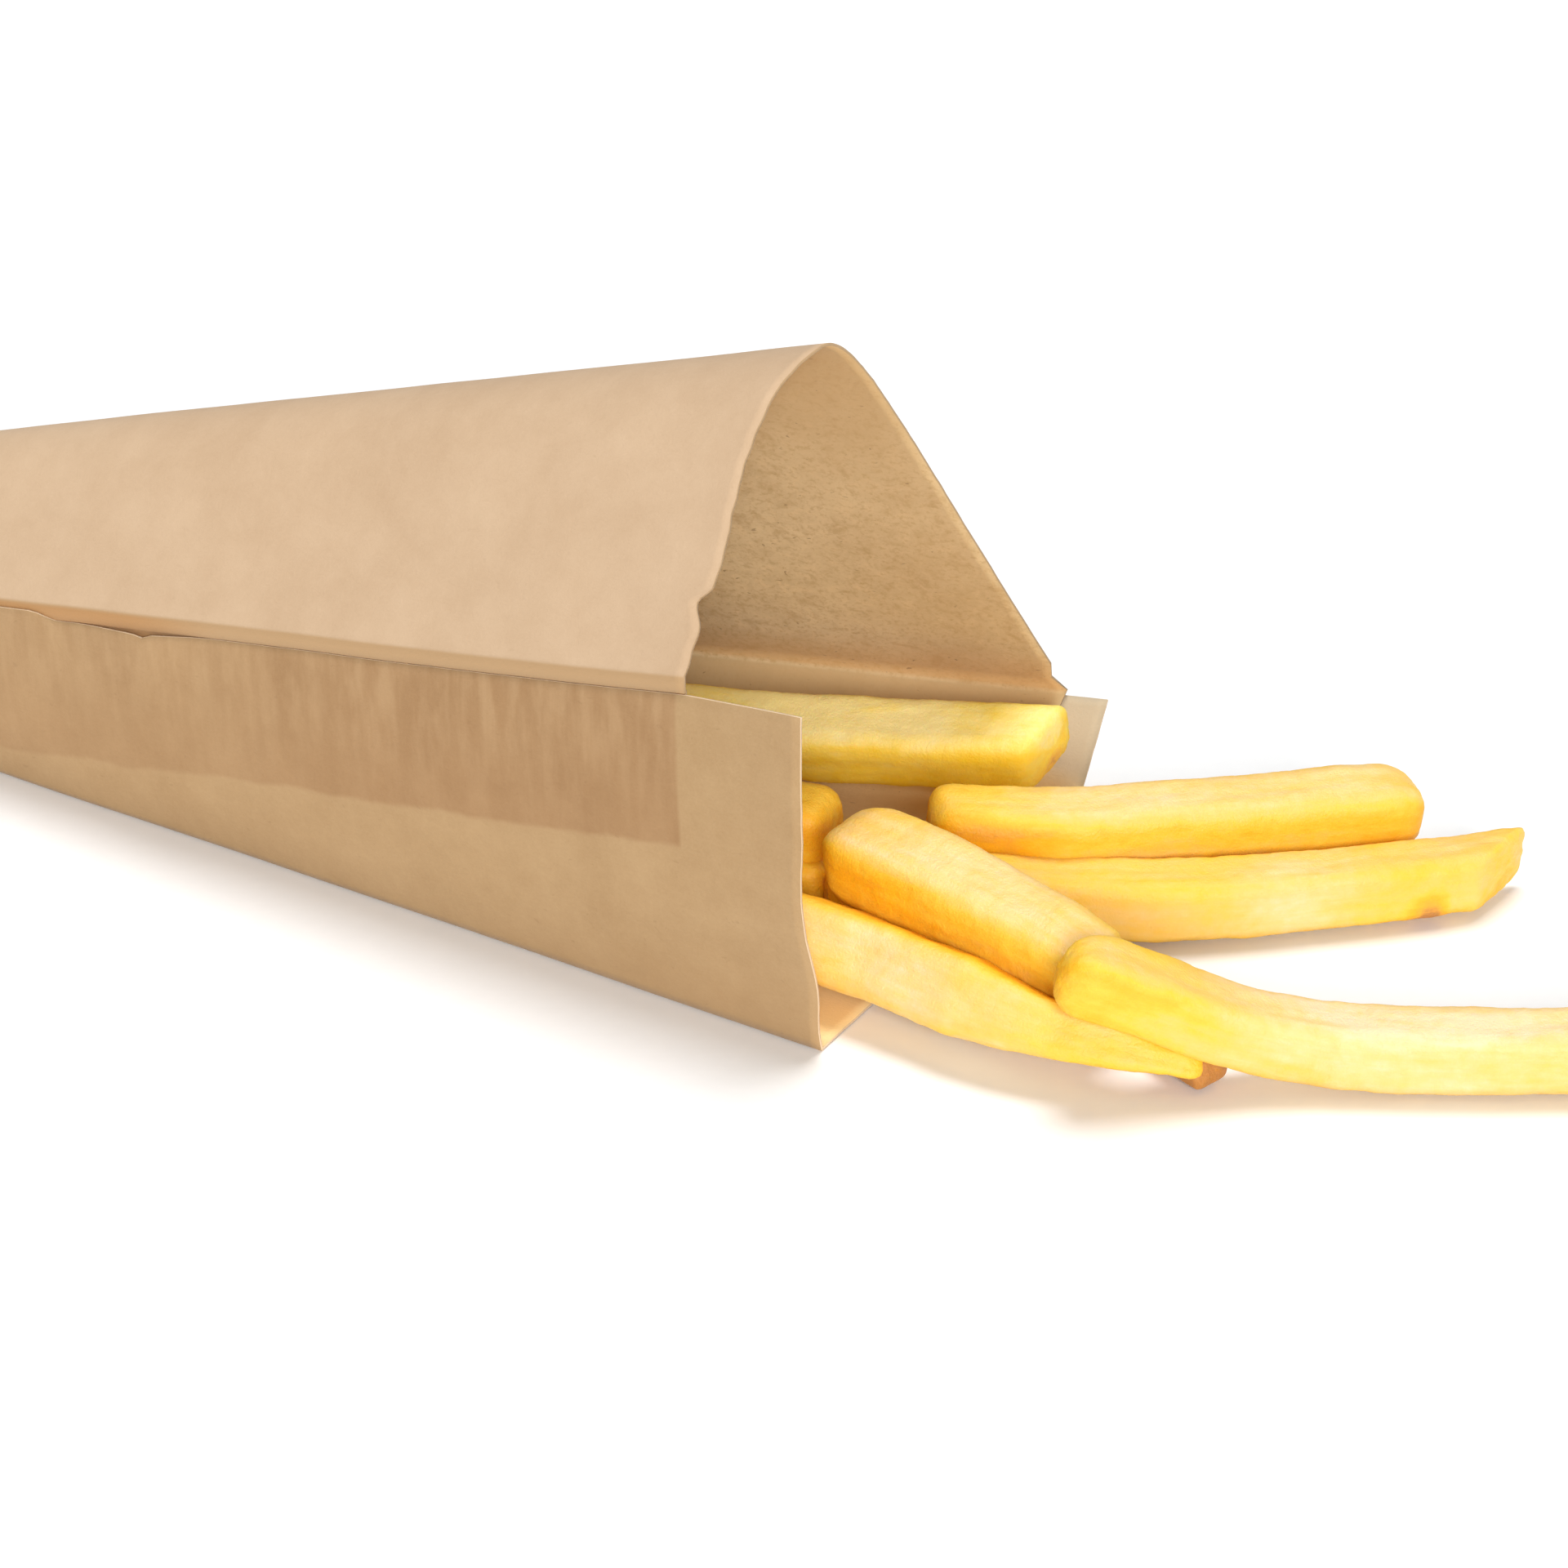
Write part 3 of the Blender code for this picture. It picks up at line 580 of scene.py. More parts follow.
class Net:
    """Adds nodes to a tree and wires them. A value is a number, a vector, a colour or a node's output."""

    def __init__(self, tree):
        self.tree = tree

    def plug(self, socket, value):
        if isinstance(value, bpy.types.NodeSocket):
            self.tree.links.new(value, socket)
        else:
            socket.default_value = value

    def add(self, kind, inputs=None, **settings):
        node = self.tree.nodes.new(kind)
        for key, value in settings.items():
            setattr(node, key, value)
        for key, value in (inputs or {}).items():
            self.plug(node.inputs[key], value)
        return node

    def value(self, kind, inputs=None, **settings):
        return self.add(kind, inputs, **settings).outputs[0]

    def reshape(self, step, shape, **inputs):
        return self.value("GeometryNode" + step, {"Geometry": shape, **inputs})

    def math(self, operation, *terms, clamp=False):
        return self.value("ShaderNodeMath", dict(enumerate(terms)), operation=operation, use_clamp=clamp)

    def plus(self, first, *others):
        for other in others:
            first = self.math("ADD", first, other)
        return first

    def less(self, first, second):
        return self.math("SUBTRACT", first, second)

    def times(self, first, *others):
        for other in others:
            first = self.math("MULTIPLY", first, other)
        return first

    def blend(self, share, first, second):
        return self.value("ShaderNodeMix", {0: share, 2: first, 3: second})

    def vector(self, operation, *terms):
        node = self.add("ShaderNodeVectorMath", dict(enumerate(terms)), operation=operation)
        return node.outputs["Value" if operation == "DISTANCE" else "Vector"]

    def stretch(self, vector, factor):
        return self.value("ShaderNodeVectorMath", {0: vector, "Scale": factor}, operation="SCALE")

    def split(self, vector):
        return self.add("ShaderNodeSeparateXYZ", {0: vector}).outputs

    def join(self, x, y, z):
        return self.value("ShaderNodeCombineXYZ", {0: x, 1: y, 2: z})

    def noise(self, vector, scale=1.0, detail=2.0, roughness=0.5, distortion=0.0):
        return self.value("ShaderNodeTexNoise", {"Vector": vector, "Scale": scale, "Detail": detail,
                                                 "Roughness": roughness, "Distortion": distortion})

    def line_noise(self, place, seed):
        inputs = {"W": self.plus(place, seed), "Scale": 1.0, "Detail": 2.0}
        return self.value("ShaderNodeTexNoise", inputs, noise_dimensions="1D")

    def ramp(self, value, low, high, start=0.0, end=1.0, kind="SMOOTHSTEP"):
        inputs = {0: value, 1: low, 2: high, 3: start, 4: end}
        return self.value("ShaderNodeMapRange", inputs, interpolation_type=kind)

    def colour_mix(self, share, first, second, blend="MIX"):
        node = self.add("ShaderNodeMix", {0: share}, data_type="RGBA", blend_type=blend)
        self.plug(node.inputs[6], first)
        self.plug(node.inputs[7], second)
        return node.outputs[2]

    def tinted(self, colour, share, tint):
        return self.colour_mix(share, colour, srgb(*tint))

    def marked(self, name, output="Fac"):
        return self.add("ShaderNodeAttribute", attribute_name=name).outputs[output]


def set_up_group(name, kind, inputs, outputs):
    """A node group with named sockets. Gives the wiring helper, its inputs and its output node."""
    tree = bpy.data.node_groups.new(name, kind)
    for title, socket_kind, default in inputs:
        socket = tree.interface.new_socket(title, in_out="INPUT", socket_type="NodeSocket" + socket_kind)
        if default is not None:
            socket.default_value = default
    for title, socket_kind in outputs:
        tree.interface.new_socket(title, in_out="OUTPUT", socket_type="NodeSocket" + socket_kind)
    net = Net(tree)
    return net, net.add("NodeGroupInput").outputs, net.add("NodeGroupOutput")


def fry_section(net, given, around):
    """Section of a fry as a rounded square: sideways and upward place, and nearness to an edge."""
    angle = net.times(around, math.tau)
    side = net.math("COSINE", angle)
    up = net.math("SINE", angle)
    power = given["Square"]
    parts = [net.math("POWER", net.math("ABSOLUTE", part), power) for part in (side, up)]
    reach = net.math("POWER", net.plus(*parts), net.math("DIVIDE", -1.0, power))
    edge = net.math("POWER", net.math("ABSOLUTE", net.math("SINE", net.times(angle, 2.0))), EDGE_POWER)
    sink = net.less(1.0, net.times(given["Sink"], net.less(1.0, edge)))
    reach = net.times(reach, sink)
    return net.times(reach, side), net.times(reach, up), edge, side, up


def fry_tone(net, given, side, up, share, place):
    """How fried the skin is: by side, towards both ends, and at two spots. The tone by side is partly painted
    light and shade, paler on top and deeper under and in front.
    """
    flat = net.blend(net.math("LESS_THAN", side, 0.0), given["Near Side"], given["Far Side"])
    lying = net.blend(net.math("LESS_THAN", up, 0.0), given["Top Side"], given["Under Side"])
    weight = net.ramp(net.times(up, up), 0.25, 0.7)
    start = net.times(net.ramp(share, 0.0, 0.3, 1.0, 0.0), given["Start Fry"])
    end = net.times(net.ramp(share, 0.75, 1.0), given["End Fry"])
    tone = net.plus(net.blend(weight, flat, lying), net.plus(start, end))
    for number in (1, 2):
        apart = net.vector("DISTANCE", place, given[f"Spot {number}"])
        near = net.ramp(net.math("DIVIDE", apart, given[f"Spot {number} Size"]), 0.0, 1.0, 1.0, 0.0)
        tone = net.plus(tone, net.times(near, given[f"Spot {number} Change"]))
    return tone


def fry_ends(net, along):
    """The rings near both ends close them. Gives the share of the fry that is passed, how open each ring is,
    and how far it is pushed out at the start and at the end."""
    opened = []
    pushed = []
    for from_end in (along, net.less(1.0, along)):
        angle = net.times(net.math("DIVIDE", from_end, CAP_SHARE, clamp=True), math.pi / 2)
        opened.append(net.math("POWER", net.math("SINE", angle), CAP_POWER))
        pushed.append(net.math("POWER", net.math("MAXIMUM", net.math("COSINE", angle), 0.0), CAP_POWER))
    share = net.math("DIVIDE", net.less(along, CAP_SHARE), 1 - 2 * CAP_SHARE, clamp=True)
    return share, net.times(*opened), pushed


def fry_frame(net, given, factor):
    """The middle line's place and direction at a share of its length, and the ways sideways and up there."""
    curve = net.add("GeometryNodeSampleCurve", {"Curves": given["Path"], "Factor": factor}, mode="FACTOR")
    tangent = net.vector("NORMALIZE", curve.outputs["Tangent"])
    flat_side = net.vector("NORMALIZE", net.vector("CROSS_PRODUCT", tangent, (0.0, 0.0, 1.0)))
    flat_up = net.vector("CROSS_PRODUCT", flat_side, tangent)
    turn_cos = net.math("COSINE", given["Roll"])
    turn_sin = net.math("SINE", given["Roll"])
    to_side = net.vector("SUBTRACT", net.stretch(flat_side, turn_cos), net.stretch(flat_up, turn_sin))
    to_up = net.vector("ADD", net.stretch(flat_up, turn_cos), net.stretch(flat_side, turn_sin))
    return curve.outputs["Position"], tangent, to_side, to_up


def fry_sizes(net, given, share, walked):
    """Half the width and half the height from ring to ring, with the taper to the tip."""
    narrowing = net.ramp(share, given["Tip Start"], 1.0, kind="LINEAR")
    taper = net.times(narrowing, net.less(given["Tip"], 1.0))
    sizes = []
    for axis, full in enumerate((given["Width"], given["Height"])):
        seed = net.plus(given["Seed"], SIZE_SEED_STEP * (axis + 1))
        wander = net.less(net.line_noise(net.math("DIVIDE", walked, WANDER_LENGTH), seed), 0.5)
        change = net.plus(net.times(wander, net.times(given["Unevenness"], 2.0)), taper)
        sizes.append(net.times(full, 0.5, net.plus(change, 1.0)))
    return sizes


def stored(net, shape, marks):
    """Keeps named values on the points."""
    for name, kind, value in marks:
        store = net.add("GeometryNodeStoreNamedAttribute", {"Geometry": shape, "Name": name}, data_type=kind)
        net.plug(store.inputs["Value"], value)
        shape = store.outputs[0]
    return shape


def roughened(net, given, shape):
    """Lumps, blisters, streaks and pores, raised along the skin's normals."""
    space = net.value("GeometryNodeInputNamedAttribute", {"Name": "fry_space"}, data_type="FLOAT_VECTOR")
    lumps = net.less(net.noise(space, 0.16, 2.0), 0.5)
    blisters = net.less(net.noise(space, 0.75, 2.0, 0.6), 0.5)
    streaks = net.less(net.noise(net.vector("MULTIPLY", space, (0.12, 0.9, 0.9)), 1.0, 2.0), 0.5)
    pores = net.less(net.noise(space, 2.6, 3.0, 0.65), 0.5)
    parts = ((lumps, "Lumps", 2.0), (blisters, "Blisters", 2.0), (streaks, "Lumps", 1.2),
             (pores, "Pores", 2.0))
    height = net.plus(*[net.times(part, net.times(given[name], share)) for part, name, share in parts])
    offset = net.stretch(net.value("GeometryNodeInputNormal"), net.times(height, MM))
    return net.reshape("SetPosition", shape, Offset=offset)


def fry_tree():
    """Geometry nodes that sweep a fry's section along its curve, round off its cut ends and roughen it."""
    inputs = [("Path", "Geometry", None), ("Skin", "Material", None)]
    inputs += [(name, "Float", None) for name in FRY_MEASURES]
    inputs += [(name, "Float", default) for name, default in FRY_SKIN]
    inputs += [(name, "Vector", (0.0, 0.0, 0.0)) for name in ("Spot 1", "Spot 2")]
    inputs += [(name, "Int", count) for name, count in zip(("Rings", "Around"), FRY_FINENESS)]
    net, given, out = set_up_group("swept_fry", "GeometryNodeTree", inputs, [("Fry", "Geometry")])
    grid = net.value("GeometryNodeMeshGrid", {"Size X": 1.0, "Size Y": 1.0, "Vertices X": given["Rings"],
                                              "Vertices Y": net.plus(given["Around"], 1.0)})
    at = net.split(net.value("GeometryNodeInputPosition"))
    share, opening, pushed = fry_ends(net, net.plus(at[0], 0.5))

    # How far along the middle line each ring is, and the directions there
    length = net.math("DIVIDE", net.value("GeometryNodeCurveLength", {"Curve": given["Path"]}), MM)
    before, after = [net.math("MAXIMUM", net.less(given[end], END_ROUND), 0.0)
                     for end in ("Start Round", "End Round")]
    straight = net.less(length, net.plus(before, after))
    passed = net.times(share, straight)
    walked = net.plus(before, passed)
    middle, tangent, to_side, to_up = fry_frame(net, given, net.math("DIVIDE", walked, length))

    # Place across the fry
    half_width, half_height = fry_sizes(net, given, share, walked)
    side_share, up_share, edge, side, up = fry_section(net, given, net.plus(at[1], 0.5))
    sideways = net.times(side_share, half_width, opening)
    upward = net.times(up_share, half_height, opening)
    across = net.vector("ADD", net.stretch(to_side, sideways), net.stretch(to_up, upward))

    # Slanted cuts and rounded ends move points along the fry
    start_slant = net.times(net.ramp(passed, 0.0, CUT_REACH, 1.0, 0.0), given["Start Cut"])
    end_slant = net.times(net.ramp(net.less(straight, passed), 0.0, CUT_REACH, 1.0, 0.0), given["End Cut"])
    slant = net.times(net.plus(start_slant, end_slant), sideways)
    bulge = net.less(net.times(pushed[1], given["End Round"]), net.times(pushed[0], given["Start Round"]))
    onward = net.plus(slant, bulge)
    offset = net.stretch(net.vector("ADD", across, net.stretch(tangent, onward)), MM)

    # What the skin's finish reads: place in the fry, how fried it is with its painted light and shade by
    # side, edges, cut ends and the lean to lemon
    tone = fry_tone(net, given, side, up, share, net.join(walked, sideways, upward))
    in_skin = net.join(net.plus(walked, onward, net.times(given["Seed"], SEED_STEP)), sideways, upward)
    shape = stored(net, grid, (
        ("fry_space", "FLOAT_VECTOR", in_skin), ("fried", "FLOAT", tone), ("edge", "FLOAT", edge),
        ("cut_end", "FLOAT", net.less(1.0, opening)), ("lemon", "FLOAT", given["Lemon"])))

    shape = net.reshape("SetPosition", shape, Position=net.vector("ADD", middle, offset))
    shape = net.reshape("MergeByDistance", shape, Distance=WELD)
    shape = roughened(net, given, shape)
    shape = net.reshape("SetShadeSmooth", shape)
    shape = net.reshape("RealizeInstances", shape)
    net.plug(out.inputs[0], net.reshape("SetMaterial", shape, Material=given["Skin"]))
    return net.tree


def smooth_line(points, steps):
    """Evenly numbered points on a smooth curve through the given ones."""
    vectors = [Vector(p) for p in points]
    padded = [2 * vectors[0] - vectors[1], *vectors, 2 * vectors[-1] - vectors[-2]]
    line = []
    spans = len(vectors) - 1
    for step in range(steps + 1):
        place = min(step / steps * spans, spans - 1e-6)
        span = int(place)
        t = place - span
        before, start, end, after = padded[span:span + 4]
        line.append(0.5 * (2 * start + (end - before) * t
                           + (2 * before - 5 * start + 4 * end - after) * t * t
                           + (3 * start - before - 3 * end + after) * t ** 3))
    return line


def run_nodes(piece, tree, values):
    """Puts a geometry tree on an object, with its inputs given by name, and gives the plain mesh it makes."""
    modifier = piece.modifiers.new(tree.name, "NODES")
    modifier.node_group = tree
    for item in tree.interface.items_tree:
        if item.item_type == "SOCKET" and item.in_out == "INPUT" and item.name in values:
            modifier[item.identifier] = values[item.name]
    piece.update_tag()
    bpy.context.view_layer.update()
    graph = bpy.context.evaluated_depsgraph_get()
    made = bpy.data.meshes.new_from_object(piece.evaluated_get(graph))
    piece.modifiers.remove(modifier)
    return made


def make_fry(name, shape, tree, skin, seed, fineness=FRY_FINENESS):
    """One fry as a plain mesh object."""
    line = smooth_line(shape.line, LINE_POINTS)
    curve = bpy.data.curves.new(name + "_path", "CURVE")
    curve.dimensions = "3D"
    spline = curve.splines.new("POLY")
    spline.points.add(len(line) - 1)
    for point, place in zip(spline.points, line):
        point.co = (*world(place), 1.0)
    guide = in_scene(name + "_path", curve)
    measures = (float(shape.width), float(shape.height), math.radians(shape.roll), float(shape.square),
                shape.lemon, float(seed), *shape.rounds, *shape.cuts, *shape.tip, *shape.sides, *shape.ends)
    values = dict(zip(FRY_MEASURES, measures))
    values.update({"Rings": fineness[0], "Around": fineness[1], "Skin": skin})
    for number, (along, sideways, upward, size, change) in enumerate(shape.spots, 1):
        values[f"Spot {number}"] = (along, sideways, upward)
        values[f"Spot {number} Size"] = size
        values[f"Spot {number} Change"] = change
    mesh = run_nodes(guide, tree, values)
    mesh.name = name
    bpy.data.objects.remove(guide, do_unlink=True)
    bpy.data.curves.remove(curve)
    return in_scene(name, mesh)


def heap_top(x):
    """Height of the core along the cone."""
    slope = max(0.0, (x - CORE_SLOPE_START) / (CORE_SLOPE_END - CORE_SLOPE_START))
    return min(CORE_SHARE * scaled(NEAR_FOLD, x)[1], CORE_LEVEL + (CORE_FRONT - CORE_LEVEL) * slope)


def deep_fry_shapes(rng):
    """Fries that lie on the core inside the cone, in staggered rows that narrow with it."""
    shapes = []
    for index in range(DEEP_FRIES):
        start = DEEP_FIRST + DEEP_STEP * index
        end = min(start + DEEP_FRY_LENGTH * rng.uniform(*DEEP_LENGTHS), DEEP_END)
        across = DEEP_ROWS[index % len(DEEP_ROWS)] + rng.uniform(-DEEP_SHIFT, DEEP_SHIFT)
        swing = rng.uniform(-DEEP_SWING, DEEP_SWING)
        line = []
        for x, at_mouth in ((start, across), (end, across + swing)):
            line.append((x, at_mouth * x / CONE_LENGTH, heap_top(x) + rng.uniform(*DEEP_HEIGHTS)))
        size = DEEP_FRY_SIZE * rng.uniform(*DEEP_WIDTHS)
        height = size * rng.uniform(*DEEP_FLATNESS)
        shapes.append(Fry(line, size, height, rng.uniform(*DEEP_ROLLS), (0.1, -0.1)))
    return shapes


def join_as(name, pieces):
    """One mesh object made of several."""
    with bpy.context.temp_override(active_object=pieces[0], selected_editable_objects=pieces):
        bpy.ops.object.join()
    pieces[0].name = name
    return pieces[0]


def deep_fries(tree, skin):
    """The fries that lie on the core, as one piece."""
    tones = random.Random(SEED + 1)
    made = []
    for index, shape in enumerate(deep_fry_shapes(random.Random(SEED))):
        sides = tuple(tones.uniform(*DEEP_TONES) for side in range(4))
        shape = shape._replace(sides=sides, lemon=tones.uniform(*DEEP_LEMON))
        made.append(make_fry(f"deep_{index}", shape, tree, skin, DEEP_SEED + index, DEEP_FINENESS))
    return join_as("deep_fries", made)


def heap_core(skin):
    """The body under the fries, which follows the inside of the cone."""
    data = bmesh.new()
    in_fry = data.verts.layers.float_vector.new("fry_space")
    fried = data.verts.layers.float.new("fried")
    rows = []
    for station in range(CORE_STATIONS + 1):
        share = station / CORE_STATIONS
        x = CORE_START + (CORE_END - CORE_START) * share
        height = heap_top(x) - CORE_FLOOR
        near = scaled(NEAR_FOOT, x)[0] + CORE_SIDE_GAP
        far = (scaled(FAR_FOOT, x)[0] - CORE_SIDE_GAP) * (1.0 - CORE_FAR_LOSS * share ** 2)
        row = []
        for across, up in CORE_OUTLINE:
            point = (x, near + (far - near) * across, CORE_FLOOR + height * up)
            vert = data.verts.new(world(point))
            vert[in_fry] = point
            vert[fried] = CORE_TONE
            row.append(vert)
        rows.append(row)
    closed_body(data, rows)
    return made_object("heap_core", data, (skin,))


def srgb(red, green, blue):
    """A colour read off a picture, 0 to 255, as the linear values that a shader takes."""
    linear = []
    for part in (red, green, blue):
        share = part / 255
        linear.append(share / 12.92 if share <= 0.04045 else ((share + 0.055) / 1.055) ** 2.4)
    return (*linear, 1.0)


def new_finish(name, **values):
    """A material with its shader, and the wiring helper for it. The shader's values are given by name."""
    finish = bpy.data.materials.new(name)
    finish.use_nodes = True
    shader = finish.node_tree.nodes["Principled BSDF"]
    for title, value in values.items():
        shader.inputs[title].default_value = value
    return finish, Net(finish.node_tree), shader


def relief(net, shader, height, distance, strength):
    """Gives the shader a bump from a height between 0 and 1 that stands for a distance in metres."""
    bump_map = net.value("ShaderNodeBump", {"Height": height, "Distance": distance, "Strength": strength})
    net.plug(shader.inputs["Normal"], bump_map)


def pulp_group():
    """What all paper shares: cloudy pulp, fine fibres, dark flecks and their relief."""
    inputs = [("Place", "Vector", (0.0, 0.0, 0.0))]
    inputs += [(name, "Float", 0.5) for name in ("Cloud", "Fibre", "Flecks")]
    outputs = [(name, "Float") for name in ("Tone", "Fleck", "Height")]
    net, given, out = set_up_group("paper_pulp", "ShaderNodeTree", inputs, outputs)
    place = given["Place"]
    cloud = net.noise(place, 0.055, 3.0, 0.55, 0.6)
    patch = net.noise(place, 0.22, 4.0, 0.6, 0.3)
    clouds = net.less(net.plus(net.times(cloud, 0.6), net.times(patch, 0.4)), 0.5)
    warp = net.stretch(net.add("ShaderNodeTexNoise", {"Vector": place, "Scale": 0.3}).outputs["Color"], 2.2)
    bent = net.vector("ADD", place, warp)
    strands = [net.noise(net.vector("MULTIPLY", bent, stretch), 1.0, 2.0, 0.6)
               for stretch in ((0.25, 2.4, 2.4), (1.9, 0.3, 1.9), (1.1, 1.6, 0.3))]
    fibre = net.math("DIVIDE", net.plus(*strands), 3.0)
    grain = net.noise(place, 3.4, 2.0, 0.6)
    fine = net.less(net.plus(net.times(fibre, 0.6), net.times(grain, 0.4)), 0.5)
    tone = net.plus(0.5, net.plus(net.times(clouds, given["Cloud"]), net.times(fine, given["Fibre"])))
    specks = net.noise(net.vector("MULTIPLY", bent, (0.55, 1.25, 1.1)), 1.3, 1.0, 0.4, 0.4)
    net.plug(out.inputs["Tone"], tone)
    net.plug(out.inputs["Fleck"], net.times(net.ramp(specks, 0.735, 0.79), given["Flecks"]))
    net.plug(out.inputs["Height"], net.plus(net.times(fibre, 0.7), net.times(grain, 0.3)))
    return net.tree


def object_place(net):
    """Object coordinates in millimetres."""
    return net.stretch(net.add("ShaderNodeTexCoord").outputs["Object"], 1 / MM)


def paper_finish(name, pulp, dark, light, cloud, fibre, flecks, tint=None):
    """Paper in two tones, with an optional further tint worked out from its place on the sheet: stains as
    well as painted shade and painted light.
    """
    finish, net, shader = new_finish(name, **PAPER_SHADER)
    group = net.add("ShaderNodeGroup", node_tree=pulp)
    net.plug(group.inputs["Place"], object_place(net))
    for socket, strength in (("Cloud", cloud), ("Fibre", fibre), ("Flecks", flecks)):
        group.inputs[socket].default_value = strength
    tone = net.math("ADD", group.outputs["Tone"], 0.0, clamp=True)
    colour = net.colour_mix(tone, srgb(*dark), srgb(*light))
    if tint:
        colour = tint(net, colour)
    net.plug(shader.inputs["Base Color"], net.tinted(colour, group.outputs["Fleck"], FLECK))
    relief(net, shader, group.outputs["Height"], *PAPER_RELIEF)
    return finish


def sheet_place(net):
    """Place on the flat paper: along the cone, across from the near fold, across from the section's start."""
    return net.split(net.marked("sheet_place", "Vector"))


def glue_zone(net, colour):
    """The wall is darker and streaked where the near flap is glued behind it, and painted shade darkens it
    towards its foot.
    """
    along, down, _ = sheet_place(net)
    wander = net.less(net.noise(object_place(net), 0.12, 3.0), 0.5)
    reach = net.math("MINIMUM", FLAP_WIDTH - FOLD_REVEAL, net.times(along, GLUE_SPREAD))
    under = net.less(net.plus(down, net.times(wander, 2.2)), reach)
    front = net.plus(along, net.times(wander, 0.8))
    mask = net.times(net.ramp(under, -0.5, 0.5, 1.0, 0.0), net.ramp(front, *GLUE_END, 1.0, 0.0),
                     net.ramp(along, 180.0, 225.0, 0.65, 1.0))
    streak = net.noise(net.join(net.times(along, 0.42), net.times(down, 0.09), 0.0), 1.0, 3.0, 0.55)
    streaks = net.times(net.ramp(streak, 0.35, 0.7), net.ramp(down, 2.0, 18.0, 0.7, 0.2))
    glued = net.colour_mix(1.0, colour, srgb(*GLUE_STAIN), "MULTIPLY")
    glued = net.colour_mix(net.times(streaks, 0.5), glued, net.tinted(colour, 0.5, GLUE_STREAK))
    colour = net.colour_mix(mask, colour, glued)
    # painted shade towards the wall's foot
    return net.tinted(colour, net.ramp(down, 30.0, 46.0, 0.0, 0.35), WALL_FOOT_SHADE)


def fold_shade(net, colour):
    """Painted shade on the roof's outer face just where it turns down at the near fold, and a painted shadow
    in the gap under the fold where the wall's cut edge stands off.
    """
    along, across, _ = sheet_place(net)
    colour = net.tinted(colour, net.times(net.ramp(across, -0.2, 0.3), 0.9), FOLD_TURN_SHADE)
    # painted shadow in the gap where the wall's cut edge stands off, towards the back
    back = net.times(net.ramp(across, 0.0, 0.6), net.ramp(along, 178.0, 196.0, 0.8, 0.0))
    return net.tinted(colour, back, FOLD_GAP_SHADOW)


def roof_inside_shade(net, colour):
    """Inside the roof, the paper is mottled, browner towards the far fold and greyer on the far flap; painted
    shade darkens it towards the peak and beyond, and towards the mouth's edge.
    """
    along, _, start = sheet_place(net)
    place = object_place(net)
    mottle = net.noise(place, 0.42, 4.0, 0.62, 0.5)
    grain = net.noise(place, 1.5, 3.0, 0.6)
    # the last two rows are painted shade towards the peak and the mouth's edge
    shades = ((mottle, 0.3, 0.5, 0.5, 0.0, MOTTLE_DARK), (mottle, 0.52, 0.7, 0.0, 0.4, MOTTLE_PALE),
              (grain, 0.3, 0.52, 0.5, 0.0, GRAIN_DARK), (start, 46.0, 88.0, 0.0, 0.8, PAINTED_ROOF_SHADE),
              (along, 236.0, 268.0, 0.0, 0.35, PAINTED_ROOF_SHADE))
    for value, low, high, first, last, tint in shades:
        colour = net.tinted(colour, net.ramp(value, low, high, first, last), tint)
    flap = FAR_FLAP_WIDTH
    band = net.times(net.ramp(start, flap, flap + 1.5), net.ramp(start, flap + 2.0, flap + 11.0, 1.0, 0.0))
    colour = net.tinted(colour, net.times(band, 0.55), FAR_FOLD_BROWN)
    return net.tinted(colour, net.times(net.ramp(start, flap, flap + 0.6, 1.0, 0.0), 0.85), FAR_FLAP_GREY)


def base_inside_shade(net, colour):
    """Inside the lower panel, the far lip is greyer, and painted light makes the bottom's front paler, as if
    lit by light bounced from the fries.
    """
    along, down, _ = sheet_place(net)
    lip = net.times(net.ramp(down, *FAR_WALL_FOOT), net.ramp(along, 262.0, 268.0))
    colour = net.tinted(colour, net.times(lip, 0.85), FAR_LIP_GREY)
    # painted light on the bottom's front at the mouth
    front = net.times(net.ramp(down, *FAR_WALL_FOOT, 1.0, 0.0), net.ramp(along, 240.0, 262.0))
    return net.tinted(colour, net.times(front, 0.8), BOTTOM_FRONT_LIGHT)


def skin_group():
    """What every fry's skin shares: cloudy frying, streaks along the cut, small blisters and their relief."""
    inputs = [("Place", "Vector", (0.0, 0.0, 0.0))]
    outputs = [(name, "Float") for name in ("Cloud", "Streak", "Spots", "Height")]
    net, given, out = set_up_group("potato_skin", "ShaderNodeTree", inputs, outputs)
    place = given["Place"]
    cloud = net.noise(net.vector("MULTIPLY", place, (0.055, 0.16, 0.16)), 1.0, 3.0, 0.55, 0.4)
    streak = net.noise(net.vector("MULTIPLY", place, (0.09, 0.85, 0.85)), 1.0, 3.0, 0.6, 0.2)
    small = net.noise(place, 0.55, 3.0, 0.6)
    pores = net.noise(place, 2.8, 3.0, 0.65)
    net.plug(out.inputs["Cloud"], cloud)
    net.plug(out.inputs["Streak"], streak)
    net.plug(out.inputs["Spots"], small)
    net.plug(out.inputs["Height"], net.plus(net.times(pores, 0.6), net.times(small, 0.4)))
    return net.tree


def tone_colour(net, tone, stops):
    """The colour of the fries' skin for how fried it is."""
    ramp = net.add("ShaderNodeValToRGB", {0: tone})
    while len(ramp.color_ramp.elements) < len(stops):
        ramp.color_ramp.elements.new(0.5)
    for element, (stop, colour) in zip(ramp.color_ramp.elements, stops):
        element.position = stop
        element.color = srgb(*colour)
    return ramp.outputs["Color"]


